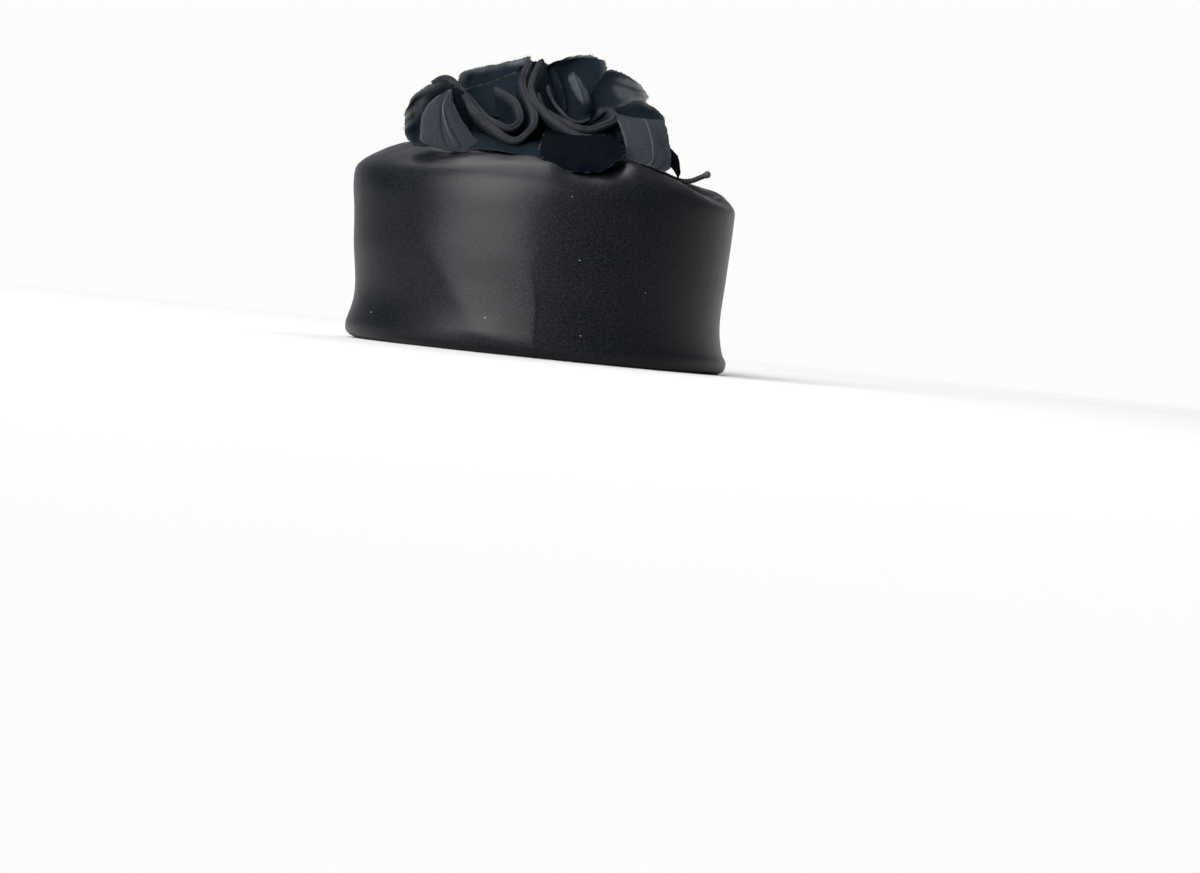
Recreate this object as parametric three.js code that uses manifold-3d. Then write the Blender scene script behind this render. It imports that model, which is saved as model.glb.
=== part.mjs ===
// Satin pillbox hat with two folded silk roses, leaves, loose petals and a bound wire stem.
// Millimetres. +X is the front of the hat, +Z is up, the flowers are set towards the -Y side.
// The hat stands on the flat underside of its rolled lower edge, at z = 0.
import * as THREE from "three";
import { mergeVertices } from "three/addons/utils/BufferGeometryUtils.js";
import Module from "manifold-3d";

const wasm = await Module();
wasm.setup();

// ---- Driving dimensions -------------------------------------------------

const WALL = 2.2; // thickness of the satin-covered shell
const GAP = 0.35; // clearance kept between neighbouring pieces
const WIDTH_RATIO = 0.94; // side-to-side size of the crown over its front-to-back size
const CROWN_DIVISIONS = 56; // divisions round the crown
const RIM_BAND = 2.6; // width of the flat underside of the rolled edge

// The outer side of the crown from the underside up: how far it reaches back and forward.
const WALL_SECTIONS = [
  { height: 0.0, back: -79.9, front: 84.2 },
  { height: 0.8, back: -82.2, front: 86.2 },
  { height: 2.6, back: -84.3, front: 87.4 },
  { height: 5.8, back: -84.9, front: 87.5 },
  { height: 8.3, back: -84.5, front: 86.0 },
  { height: 10.9, back: -83.8, front: 85.1 },
  { height: 14.0, back: -83.0, front: 84.3 },
  { height: 44.8, back: -85.0, front: 84.0 },
  { height: 58.0, back: -86.1, front: 84.5 },
  { height: 70.0, back: -87.5, front: 84.8 },
];

// The shoulder between the side and the first crest: share of the run inwards, share of the rise.
const SHOULDER = [
  { run: 0.0, rise: 0.2 },
  { run: 0.035, rise: 0.36 },
  { run: 0.135, rise: 0.49 },
  { run: 0.365, rise: 0.67 },
  { run: 0.705, rise: 0.86 },
];

// The draped top, round the crown: crest, valley behind it and swell inside that, each as a
// share of the crown's half-size and a height. The near side holds the crisp fold and its pleat.
const TOP_SECTIONS = [
  { azimuth: 0, crest: 0.93, crestZ: 80.0, valley: 0.885, valleyZ: 81.2, swell: 0.66, swellZ: 85.4 },
  { azimuth: 12, crest: 0.9, crestZ: 81.8, valley: 0.84, valleyZ: 83.6, swell: 0.64, swellZ: 86.2 },
  { azimuth: 30, crest: 0.84, crestZ: 84.8, valley: 0.77, valleyZ: 86.6, swell: 0.62, swellZ: 87.2 },
  { azimuth: 60, crest: 0.8, crestZ: 87.4, valley: 0.73, valleyZ: 88.8, swell: 0.6, swellZ: 88.4 },
  { azimuth: 78, crest: 0.8, crestZ: 87.0, valley: 0.73, valleyZ: 88.0, swell: 0.6, swellZ: 88.2 },
  { azimuth: 96, crest: 0.8, crestZ: 88.6, valley: 0.73, valleyZ: 90.2, swell: 0.6, swellZ: 89.4 },
  { azimuth: 124, crest: 0.8, crestZ: 87.6, valley: 0.72, valleyZ: 88.9, swell: 0.6, swellZ: 89.6 },
  { azimuth: 150, crest: 0.8, crestZ: 88.2, valley: 0.72, valleyZ: 90.4, swell: 0.6, swellZ: 90.2 },
  { azimuth: 180, crest: 0.8, crestZ: 87.9, valley: 0.72, valleyZ: 90.2, swell: 0.62, swellZ: 90.9 },
  { azimuth: 205, crest: 0.8, crestZ: 85.3, valley: 0.72, valleyZ: 87.3, swell: 0.6, swellZ: 87.6 },
  { azimuth: 228, crest: 0.8, crestZ: 84.1, valley: 0.74, valleyZ: 85.0, swell: 0.6, swellZ: 84.7 },
  { azimuth: 245, crest: 0.79, crestZ: 86.2, valley: 0.74, valleyZ: 86.9, swell: 0.6, swellZ: 83.9 },
  { azimuth: 258, crest: 0.78, crestZ: 86.7, valley: 0.73, valleyZ: 87.2, swell: 0.6, swellZ: 83.5 },
  { azimuth: 270, crest: 0.78, crestZ: 87.0, valley: 0.73, valleyZ: 87.1, swell: 0.6, swellZ: 83.1 },
  { azimuth: 283, crest: 0.79, crestZ: 82.8, valley: 0.73, valleyZ: 82.6, swell: 0.6, swellZ: 82.2 },
  { azimuth: 294, crest: 0.79, crestZ: 87.2, valley: 0.72, valleyZ: 85.2, swell: 0.6, swellZ: 82.5 },
  { azimuth: 302, crest: 0.78, crestZ: 90.4, valley: 0.7, valleyZ: 86.4, swell: 0.58, swellZ: 84.0 },
  { azimuth: 312, crest: 0.78, crestZ: 89.2, valley: 0.7, valleyZ: 83.0, swell: 0.58, swellZ: 84.2 },
  { azimuth: 322, crest: 0.78, crestZ: 86.2, valley: 0.7, valleyZ: 79.7, swell: 0.57, swellZ: 83.7 },
  { azimuth: 335, crest: 0.81, crestZ: 80.8, valley: 0.74, valleyZ: 77.3, swell: 0.58, swellZ: 83.6 },
  { azimuth: 347, crest: 0.885, crestZ: 78.3, valley: 0.83, valleyZ: 76.2, swell: 0.62, swellZ: 83.6 },
];
const HOLLOW_FLOOR = 85.5; // height of the middle of the top, where the flowers sit
const HOLLOW_SHIFT = -12; // how far the middle of the hollow lies towards the flowers

// The lapped join in the satin: it stands out over `run` degrees, then drops back.
const LAP = { azimuth: 269.6, run: 14, drop: 1.2, rise: 0.9 };

// The heart of each rose: where its folds are gathered, and how far it faces over to the -Y side.
const BACK_ROSE = { x: -24.6, y: -20, z: 97.0, tilt: 55 };
const FRONT_ROSE = { x: 7.9, y: -20, z: 100.0, tilt: 55 };

// Folded strips: the path of each folded edge in its rose's own frame (mm across, up the face,
// and out from the heart). Each strip runs from that edge down to the heart.
const BACK_ROSE_FOLDS = [
  {
    belly: 4.5,
    root: 5.5,
    stations: 24,
    rows: [
      { across: -31.7, up: 18.6, out: 8.0 },
      { across: -26.2, up: 19.2, out: 12.0 },
      { across: -18.5, up: 9.5, out: 16.0 },
      { across: -10.4, up: -4.1, out: 18.5 },
      { across: -0.5, up: -14.6, out: 20.0 },
      { across: 8.1, up: -18.8, out: 20.0 },
      { across: 14.4, up: -11.4, out: 20.0 },
      { across: 15.4, up: -2.6, out: 19.0 },
      { across: 10.7, up: 8.8, out: 18.0 },
      { across: 8.6, up: 19.3, out: 15.0 },
      { across: 10.7, up: 32.8, out: 12.0 },
    ],
  },
  {
    belly: 1.5,
    root: 2.5,
    stations: 16,
    rows: [
      { across: -15.6, up: 8.7, out: 13.5 },
      { across: -9.1, up: -1.4, out: 16.5 },
      { across: -2.7, up: -7.9, out: 18.0 },
      { across: 5.0, up: -10.6, out: 18.0 },
      { across: 9.5, up: -4.9, out: 17.5 },
      { across: 7.1, up: 4.4, out: 16.0 },
      { across: 2.4, up: 10.7, out: 14.0 },
      { across: -2.9, up: 15.4, out: 12.0 },
    ],
  },
];
const FRONT_ROSE_FOLDS = [
  {
    belly: 4.5,
    root: 6.0,
    stations: 21,
    rows: [
      { across: -17.3, up: 32.0, out: 9.5 },
      { across: -19.2, up: 23.4, out: 13.0 },
      { across: -20.5, up: 11.5, out: 16.0 },
      { across: -18.4, up: 3.0, out: 18.0 },
      { across: -13.5, up: -4.5, out: 20.0 },
      { across: -8.1, up: -10.0, out: 21.0 },
      { across: -2.0, up: -14.8, out: 21.5 },
      { across: 3.2, up: -16.9, out: 21.0 },
      { across: 8.6, up: -16.3, out: 19.5 },
      { across: 14.5, up: -13.6, out: 17.0 },
    ],
  },
  {
    belly: 2.5,
    root: 4.0,
    stations: 23,
    rows: [
      { across: -17.3, up: 9.1, out: 13.5 },
      { across: -15.1, up: 2.0, out: 15.5 },
      { across: -10.6, up: -3.9, out: 17.5 },
      { across: -4.7, up: -7.9, out: 19.0 },
      { across: 1.3, up: -11.2, out: 19.5 },
      { across: 6.2, up: -11.4, out: 19.0 },
      { across: 11.6, up: -8.1, out: 17.5 },
      { across: 17.1, up: -2.8, out: 15.0 },
      { across: 18.4, up: 2.5, out: 13.0 },
      { across: 15.7, up: 6.3, out: 12.0 },
      { across: 11.4, up: 4.8, out: 12.0 },
    ],
  },
  {
    belly: 1.0,
    root: 2.0,
    stations: 12,
    rows: [
      { across: -13.4, up: 19.0, out: 9.0 },
      { across: -10.2, up: 8.3, out: 12.0 },
      { across: -6.1, up: 1.4, out: 14.0 },
      { across: -2.0, up: -3.3, out: 15.0 },
      { across: 2.9, up: -4.2, out: 14.6 },
      { across: 7.4, up: -0.6, out: 12.6 },
    ],
  },
];

// The bound neck under each rose: radius at a height above the foot, as shares of the neck.
const NECK = [
  { at: 0.0, radius: 3.2 },
  { at: 0.35, radius: 3.8 },
  { at: 0.75, radius: 6.5 },
  { at: 1.0, radius: 8.0 },
  { at: 1.12, radius: 5.0 },
];

// Loose petals and leaves. Each row is a station from root to tip: the middle of the sheet
// (x, y, z), half its width, the direction of that width (turn about z, rise above level, in
// degrees) and how far the edges stand forward of the middle (cup; minus is bulged outwards).
const SHEETS = {
  back_leaf: {
    thick: 1.1,
    rows: [
      { x: -42.4, y: -50.0, z: 85.5, half: 4.3, turn: 4, rise: 0, cup: 0.0 },
      { x: -43.8, y: -49.6, z: 88.6, half: 12.6, turn: 6, rise: 2, cup: -1.5 },
      { x: -47.1, y: -47.4, z: 94.4, half: 11.0, turn: 8, rise: 4, cup: -2.0 },
      { x: -49.4, y: -44.0, z: 101.3, half: 8.4, turn: 8, rise: 2, cup: -1.6 },
      { x: -49.7, y: -40.0, z: 107.3, half: 4.7, turn: 4, rise: 0, cup: -0.8 },
      { x: -47.5, y: -36.6, z: 112.5, half: 0.9, turn: 0, rise: 0, cup: 0.0 },
    ],
  },
  back_rose_side_petal: {
    thick: 1.2,
    rows: [
      { x: -36.3, y: -25.0, z: 96.7, half: 6.0, turn: 0, rise: 86, cup: 0.5 },
      { x: -45.0, y: -30.0, z: 101.0, half: 13.0, turn: 0, rise: 82, cup: 1.5 },
      { x: -54.2, y: -33.5, z: 101.2, half: 14.0, turn: 0, rise: 86, cup: 2.0 },
      { x: -61.2, y: -36.0, z: 98.4, half: 11.8, turn: 0, rise: 94, cup: 2.0 },
      { x: -65.4, y: -38.5, z: 95.8, half: 8.8, turn: 0, rise: 97, cup: 1.5 },
    ],
  },
  back_rose_inner_petal: {
    thick: 1.2,
    rows: [
      { x: -25.6, y: -20.5, z: 104.0, half: 3.9, turn: 0, rise: 8, cup: 0.5 },
      { x: -28.1, y: -17.8, z: 110.6, half: 9.9, turn: 0, rise: 14, cup: 1.5 },
      { x: -29.6, y: -15.5, z: 116.8, half: 13.3, turn: 0, rise: 22, cup: 2.5 },
      { x: -29.7, y: -14.5, z: 119.9, half: 14.0, turn: 0, rise: 25, cup: 3.0 },
    ],
  },
  back_rose_top_petal: {
    thick: 1.2,
    rows: [
      { x: -24.8, y: -12.0, z: 99.8, half: 5.0, turn: 0, rise: 5, cup: 1.0 },
      { x: -26.3, y: -8.5, z: 109.0, half: 11.9, turn: 0, rise: 8, cup: 3.0 },
      { x: -28.4, y: -5.5, z: 118.3, half: 16.4, turn: 0, rise: 13, cup: 4.0 },
      { x: -28.9, y: -4.0, z: 125.4, half: 16.3, turn: 0, rise: 17, cup: 4.0 },
      { x: -27.9, y: -3.4, z: 128.7, half: 14.4, turn: 0, rise: 18, cup: 3.5 },
    ],
  },
  front_rose_hood_petal: {
    thick: 1.2,
    rows: [
      { x: 7.0, y: -12.5, z: 102.7, half: 5.9, turn: 0, rise: 0, cup: 1.5 },
      { x: 6.0, y: -7.5, z: 113.1, half: 12.9, turn: 0, rise: 0, cup: 5.0 },
      { x: 5.0, y: -4.5, z: 123.3, half: 15.1, turn: 0, rise: 2, cup: 7.0 },
      { x: 5.4, y: -4.0, z: 130.3, half: 14.5, turn: 0, rise: 6, cup: 7.0 },
      { x: 7.4, y: -4.8, z: 134.6, half: 11.3, turn: 0, rise: 8, cup: 4.0 },
      { x: 9.4, y: -5.6, z: 136.1, half: 8.0, turn: 0, rise: 4, cup: 2.0 },
    ],
  },
  front_rose_bud_petal: {
    thick: 1.1,
    rows: [
      { x: 11.6, y: -24.5, z: 109.0, half: 2.4, turn: -4, rise: -10, cup: -0.8 },
      { x: 11.4, y: -25.5, z: 113.3, half: 4.1, turn: -4, rise: -16, cup: -2.6 },
      { x: 9.7, y: -25.5, z: 118.7, half: 4.9, turn: -2, rise: -22, cup: -3.0 },
      { x: 7.8, y: -24.5, z: 123.6, half: 4.1, turn: 0, rise: -24, cup: -2.2 },
      { x: 6.5, y: -23.4, z: 126.6, half: 2.0, turn: 0, rise: -20, cup: -0.8 },
    ],
  },
  front_rose_side_petal: {
    thick: 1.2,
    rows: [
      { x: 14.8, y: -17.0, z: 112.7, half: 5.0, turn: 0, rise: 100, cup: 0.6 },
      { x: 22.0, y: -17.5, z: 120.6, half: 9.0, turn: 0, rise: 98, cup: 1.4 },
      { x: 29.8, y: -18.5, z: 121.6, half: 7.4, turn: 0, rise: 102, cup: 1.0 },
      { x: 36.0, y: -19.5, z: 121.2, half: 4.6, turn: 0, rise: 106, cup: 0.4 },
      { x: 39.4, y: -20.0, z: 120.2, half: 1.8, turn: 0, rise: 108, cup: 0.0 },
    ],
  },
  front_rose_corner_petal: {
    thick: 1.2,
    rows: [
      { x: 18.3, y: -20.0, z: 106.5, half: 3.9, turn: 0, rise: 96, cup: 0.2 },
      { x: 26.6, y: -22.0, z: 107.8, half: 5.9, turn: 0, rise: 96, cup: 0.8 },
      { x: 35.4, y: -23.5, z: 110.2, half: 7.5, turn: 0, rise: 92, cup: 1.0 },
      { x: 42.3, y: -24.0, z: 110.3, half: 5.3, turn: 0, rise: 96, cup: 0.6 },
      { x: 47.6, y: -24.4, z: 110.9, half: 1.4, turn: 0, rise: 100, cup: 0.0 },
    ],
  },
  front_leaf: {
    thick: 1.1,
    rows: [
      { x: 32.5, y: -24.6, z: 98.7, half: 3.9, turn: -6, rise: 0, cup: 0.0 },
      { x: 35.4, y: -27.2, z: 105.9, half: 10.4, turn: -6, rise: 0, cup: -0.6 },
      { x: 37.0, y: -31.4, z: 109.2, half: 11.3, turn: -4, rise: -2, cup: -1.2 },
      { x: 39.3, y: -36.6, z: 104.9, half: 10.7, turn: -2, rise: -5, cup: -2.0 },
      { x: 41.7, y: -40.8, z: 97.7, half: 10.3, turn: 2, rise: -8, cup: -2.2 },
      { x: 42.4, y: -43.4, z: 91.8, half: 10.3, turn: 4, rise: -12, cup: -2.0 },
      { x: 41.1, y: -45.6, z: 88.6, half: 8.3, turn: 4, rise: -14, cup: -1.6 },
    ],
  },
  small_leaf: {
    thick: 1.1,
    rows: [
      { x: 39.5, y: -27.5, z: 94.0, half: 2.9, turn: 90, rise: 40, cup: 0.0 },
      { x: 47.4, y: -30.0, z: 95.0, half: 5.3, turn: 84, rise: 50, cup: 0.8 },
      { x: 53.4, y: -32.0, z: 91.6, half: 5.1, turn: 80, rise: 40, cup: 0.8 },
      { x: 56.0, y: -33.0, z: 87.4, half: 3.3, turn: 76, rise: 26, cup: 0.5 },
      { x: 56.3, y: -33.6, z: 84.4, half: 1.0, turn: 76, rise: 20, cup: 0.0 },
    ],
  },
  low_petal: {
    thick: 1.2,
    rows: [
      { x: 7.9, y: -29.0, z: 92.4, half: 7.8, turn: 0, rise: 0, cup: 0.0 },
      { x: 10.8, y: -40.0, z: 93.5, half: 15.6, turn: 0, rise: 2, cup: 0.6 },
      { x: 12.2, y: -52.0, z: 92.9, half: 18.3, turn: 0, rise: 2, cup: 0.8 },
      { x: 12.4, y: -61.5, z: 88.8, half: 17.6, turn: 0, rise: 3, cup: 1.6 },
      { x: 12.1, y: -67.0, z: 84.4, half: 13.6, turn: 0, rise: 4, cup: 1.6 },
      { x: 11.9, y: -68.8, z: 81.8, half: 9.0, turn: 0, rise: 2, cup: 0.8 },
    ],
  },
  back_rose_low_petal: {
    thick: 1.2,
    rows: [
      { x: -22.4, y: -28.0, z: 90.4, half: 8.0, turn: 0, rise: 0, cup: 0.0 },
      { x: -23.4, y: -37.0, z: 88.4, half: 15.0, turn: 0, rise: -1, cup: 0.8 },
      { x: -23.8, y: -44.0, z: 88.6, half: 18.0, turn: 0, rise: -3, cup: 1.2 },
      { x: -23.8, y: -49.5, z: 91.2, half: 17.0, turn: 0, rise: -6, cup: 1.2 },
    ],
  },
  middle_petal: {
    thick: 1.2,
    rows: [
      { x: -8.3, y: -21.0, z: 88.7, half: 7.9, turn: 0, rise: 0, cup: -0.5 },
      { x: -8.3, y: -22.5, z: 95.0, half: 10.8, turn: 0, rise: 0, cup: -1.0 },
      { x: -8.3, y: -24.0, z: 101.7, half: 9.3, turn: 0, rise: 0, cup: -1.0 },
      { x: -8.8, y: -24.5, z: 107.5, half: 6.4, turn: 0, rise: 0, cup: -0.6 },
      { x: -9.3, y: -24.0, z: 112.5, half: 2.5, turn: 0, rise: 0, cup: 0.0 },
    ],
  },
  rear_left_petal: {
    thick: 1.2,
    rows: [
      { x: -26.8, y: -8.0, z: 91.2, half: 9.9, turn: 8, rise: 0, cup: 2.0 },
      { x: -29.9, y: -1.0, z: 98.8, half: 18.0, turn: 10, rise: 0, cup: 6.0 },
      { x: -33.1, y: 5.0, z: 107.3, half: 21.0, turn: 12, rise: 3, cup: 8.0 },
      { x: -34.2, y: 10.0, z: 113.8, half: 19.1, turn: 12, rise: 5, cup: 7.0 },
      { x: -34.8, y: 14.0, z: 116.8, half: 12.1, turn: 12, rise: 6, cup: 3.0 },
    ],
  },
  rear_right_petal: {
    thick: 1.2,
    rows: [
      { x: 10.9, y: -8.0, z: 91.2, half: 9.9, turn: -8, rise: 0, cup: 2.0 },
      { x: 14.0, y: -2.0, z: 100.7, half: 18.0, turn: -10, rise: 0, cup: 6.0 },
      { x: 17.0, y: 3.5, z: 111.2, half: 21.0, turn: -12, rise: -3, cup: 8.0 },
      { x: 18.1, y: 8.0, z: 118.6, half: 18.1, turn: -12, rise: -4, cup: 7.0 },
      { x: 18.6, y: 12.0, z: 122.0, half: 11.1, turn: -12, rise: -4, cup: 3.0 },
    ],
  },
  rear_middle_petal: {
    thick: 1.2,
    rows: [
      { x: -9.0, y: -12.0, z: 91.0, half: 8.0, turn: 0, rise: 0, cup: 1.0 },
      { x: -9.5, y: -9.0, z: 102.0, half: 13.0, turn: 0, rise: 0, cup: 3.0 },
      { x: -10.0, y: -7.0, z: 113.0, half: 13.5, turn: 0, rise: 0, cup: 4.0 },
      { x: -10.6, y: -6.0, z: 124.0, half: 10.5, turn: 0, rise: 0, cup: 3.0 },
      { x: -11.0, y: -6.0, z: 131.2, half: 5.5, turn: 0, rise: 4, cup: 1.0 },
    ],
  },
  rear_left_leaf: {
    thick: 1.1,
    rows: [
      { x: -12.9, y: -9.0, z: 89.2, half: 2.5, turn: 20, rise: 0, cup: 0.4 },
      { x: -19.0, y: 4.0, z: 95.2, half: 8.0, turn: 28, rise: 0, cup: 1.2 },
      { x: -27.3, y: 17.0, z: 99.3, half: 10.1, turn: 32, rise: 0, cup: 1.4 },
      { x: -35.7, y: 28.0, z: 99.9, half: 7.1, turn: 34, rise: 0, cup: 1.0 },
      { x: -42.0, y: 36.0, z: 98.7, half: 0.9, turn: 34, rise: 0, cup: 0.0 },
    ],
  },
  rear_right_leaf: {
    thick: 1.1,
    rows: [
      { x: 17.9, y: -6.0, z: 89.9, half: 2.5, turn: -24, rise: 0, cup: 0.4 },
      { x: 25.1, y: 6.0, z: 95.4, half: 8.0, turn: -32, rise: 0, cup: 1.2 },
      { x: 34.3, y: 17.0, z: 98.3, half: 9.7, turn: -38, rise: 0, cup: 1.4 },
      { x: 43.7, y: 26.0, z: 97.7, half: 6.7, turn: -40, rise: 0, cup: 1.0 },
      { x: 50.0, y: 32.0, z: 95.3, half: 0.9, turn: -40, rise: 0, cup: 0.0 },
    ],
  },
};
const DETAIL = 0.06; // the least detail kept on the trimmed pieces
const SHEET_STATIONS = 9; // cross rows along each loose petal or leaf
const SHEET_ACROSS = 5; // points across each row

// The bound stem, from under the front rose to its kinked free end.
const STEM_RADIUS = 1.2;
const STEM = [
  { x: 19.8, y: -17.0, z: 90.5 },
  { x: 33.5, y: -20.5, z: 90.2 },
  { x: 46.2, y: -24.5, z: 87.5 },
  { x: 56.4, y: -28.0, z: 84.1 },
  { x: 62.0, y: -29.0, z: 84.2 },
  { x: 66.3, y: -29.4, z: 86.2 },
  { x: 70.6, y: -29.8, z: 88.5 },
];
const STEM_KNOB = { radius: 1.6, length: 3.2 }; // the frayed end of the binding

// ---- Interpolation in the tables ------------------------------------------

const RAD = Math.PI / 180;

/** Smooth value through knots (at, value), without overshoot between them. */
function through(knots, values, at) {
  const last = knots.length - 1;
  if (at <= knots[0]) return values[0];
  if (at >= knots[last]) return values[last];
  let i = 0;
  while (at > knots[i + 1]) i += 1;
  const slope = (k) => (values[k + 1] - values[k]) / (knots[k + 1] - knots[k]);
  const tangent = (k) => {
    if (k === 0) return slope(0);
    if (k === last) return slope(last - 1);
    const a = slope(k - 1);
    const b = slope(k);
    return a * b <= 0 ? 0 : (2 * a * b) / (a + b);
  };
  const h = knots[i + 1] - knots[i];
  const t = (at - knots[i]) / h;
  return (
    values[i] * (1 + 2 * t) * (1 - t) ** 2 +
    tangent(i) * h * t * (1 - t) ** 2 +
    values[i + 1] * t * t * (3 - 2 * t) +
    tangent(i + 1) * h * t * t * (t - 1)
  );
}

/** Value of a column of TOP_SECTIONS at any azimuth. */
function topColumn(column, azimuth) {
  const a = ((azimuth % 360) + 360) % 360;
  const rows = [];
  for (const turn of [-360, 0, 360])
    for (const row of TOP_SECTIONS) rows.push([row.azimuth + turn, row[column]]);
  return through(rows.map((r) => r[0]), rows.map((r) => r[1]), a);
}

/** Rounded path through table rows: the named columns at share t of the way along. */
function along(rows, columns, t) {
  const at = Math.min(Math.max(t, 0), 1) * (rows.length - 1);
  const i = Math.min(Math.floor(at), rows.length - 2);
  const f = at - i;
  const pick = (k, c) => rows[Math.min(Math.max(k, 0), rows.length - 1)][c];
  return columns.map((c) => {
    const [a, b, d, e] = [pick(i - 1, c), pick(i, c), pick(i + 1, c), pick(i + 2, c)];
    return (
      0.5 * (2 * b + (d - a) * f + (2 * a - 5 * b + 4 * d - e) * f * f + (3 * b - a - 3 * d + e) * f ** 3)
    );
  });
}

// ---- The crown ------------------------------------------------------------

/** How far the lapped join stands out at an azimuth and height. */
function lapRise(azimuth, height) {
  const before = LAP.azimuth - azimuth;
  if (before > LAP.run || before < -LAP.drop) return 0;
  const fade = Math.min(Math.max((height - 2) / 8, 0), 1) * Math.min(Math.max((84 - height) / 12, 0), 1);
  const share = before >= 0 ? 1 - before / LAP.run : 1 + before / LAP.drop;
  return LAP.rise * share * share * fade;
}

/** Outer profile of the crown at one azimuth: [reach shift, reach, y shift, height] rows. */
function crownProfile(azimuth) {
  const rows = WALL_SECTIONS.map((s) => ({
    centre: (s.front + s.back) / 2,
    reach: (s.front - s.back) / 2 + lapRise(azimuth, s.height),
    shift: 0,
    z: s.height,
  }));
  const top = rows[rows.length - 1];
  const full = (WALL_SECTIONS.at(-1).front - WALL_SECTIONS.at(-1).back) / 2;
  const [crest, crestZ, valley, valleyZ, swell, swellZ] = [
    "crest", "crestZ", "valley", "valleyZ", "swell", "swellZ",
  ].map((column) => topColumn(column, azimuth));
  const add = (share, z) =>
    rows.push({
      centre: top.centre,
      reach: full * share + lapRise(azimuth, z) * share,
      shift: share < swell ? HOLLOW_SHIFT * (1 - share / swell) : 0,
      z,
    });
  for (const s of SHOULDER) add(1 - s.run * (1 - crest), top.z + s.rise * (crestZ - top.z));
  add(crest, crestZ);
  add((crest + valley) / 2, (crestZ + valleyZ) / 2 + 0.35);
  add(valley, valleyZ);
  for (const f of [0.35, 0.7]) {
    const bend = f * f * (3 - 2 * f);
    add(valley + (swell - valley) * f, valleyZ + (swellZ - valleyZ) * bend);
  }
  add(swell, swellZ);
  for (const f of [0.72, 0.42, 0.16]) {
    const bend = f * f * (3 - 2 * f);
    add(swell * f, HOLLOW_FLOOR + (swellZ - HOLLOW_FLOOR) * bend);
  }
  return rows;
}

/** The profile moved along its own normal by `by` (minus is inwards). */
function shifted(profile, by) {
  return profile.map((row, i) => {
    const a = profile[Math.max(i - 1, 0)];
    const b = profile[Math.min(i + 1, profile.length - 1)];
    const length = Math.hypot(b.z - a.z, b.reach - a.reach) || 1;
    return {
      ...row,
      reach: Math.max(row.reach + (by * (b.z - a.z)) / length, 0.5),
      z: row.z - (by * (b.reach - a.reach)) / length,
    };
  });
}

const CROWN_AZIMUTHS = [];
for (let i = 0; i < CROWN_DIVISIONS; i += 1) CROWN_AZIMUTHS.push((360 / CROWN_DIVISIONS) * i);
CROWN_AZIMUTHS.push(LAP.azimuth, LAP.azimuth + LAP.drop);
CROWN_AZIMUTHS.sort((a, b) => a - b);

const crownPoint = (row, azimuth) => [
  row.centre + row.reach * Math.cos(azimuth * RAD),
  row.shift + WIDTH_RATIO * row.reach * Math.sin(azimuth * RAD),
  row.z,
];

/** Rings of points, the same row of the profile at every azimuth, closed with a middle point. */
function crownRings(profiles) {
  const rings = profiles[0].map((_, r) =>
    profiles.map((profile, i) => crownPoint(profile[r], CROWN_AZIMUTHS[i])));
  return rings;
}

/** Closed body from a stack of rings: strips between them and a fan at each end. */
function ringBody(rings, firstMiddle, lastMiddle) {
  const points = rings.flat();
  const faces = [];
  const n = rings[0].length;
  for (let r = 0; r + 1 < rings.length; r += 1)
    for (let i = 0; i < n; i += 1) {
      const [a, b] = [r * n + i, r * n + ((i + 1) % n)];
      faces.push([a, b, b + n], [a, b + n, a + n]);
    }
  const end = (rings.length - 1) * n;
  points.push(firstMiddle, lastMiddle);
  for (let i = 0; i < n; i += 1) {
    faces.push([points.length - 2, (i + 1) % n, i]);
    faces.push([points.length - 1, end + i, end + ((i + 1) % n)]);
  }
  return body(points, faces);
}

/** The satin crown as one hollow shell: outer surface, rolled edge and inner surface. */
function crownShell() {
  const outer = CROWN_AZIMUTHS.map(crownProfile);
  const kept = [2, 4, 6, 9, 12, 15, 17, 20, 22];
  const inner = outer.map((profile) => {
    const inside = shifted(profile, -WALL);
    const foot = { ...profile[0], reach: profile[0].reach - RIM_BAND };
    return [foot, ...kept.map((k) => inside[k])];
  });
  const innerRings = crownRings(inner).reverse();
  const rings = [...innerRings, ...crownRings(outer)];
  const middle = (WALL_SECTIONS.at(-1).front + WALL_SECTIONS.at(-1).back) / 2;
  return ringBody(
    rings,
    [middle, HOLLOW_SHIFT, HOLLOW_FLOOR - WALL],
    [middle, HOLLOW_SHIFT, HOLLOW_FLOOR],
  );
}

/** The space the crown takes up, filled and grown by the clearance, for trimming other pieces. */
function crownSpace() {
  const outer = CROWN_AZIMUTHS.map((a) => shifted(crownProfile(a), GAP));
  const middle = (WALL_SECTIONS.at(-1).front + WALL_SECTIONS.at(-1).back) / 2;
  return ringBody(
    crownRings(outer),
    [middle, 0, 0],
    [middle, HOLLOW_SHIFT, HOLLOW_FLOOR + GAP],
  );
}

// ---- Bodies ----------------------------------------------------------------

/** A manifold-3d solid from points and triangles, turned so that it faces out. */
function body(points, faces) {
  const make = (list) =>
    new wasm.Manifold(
      new wasm.Mesh({
        numProp: 3,
        vertProperties: new Float32Array(points.flat()),
        triVerts: new Uint32Array(list.flat()),
      }),
    );
  const solid = make(faces);
  return solid.volume() > 0 ? solid : make(faces.map(([a, b, c]) => [a, c, b]));
}

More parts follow.
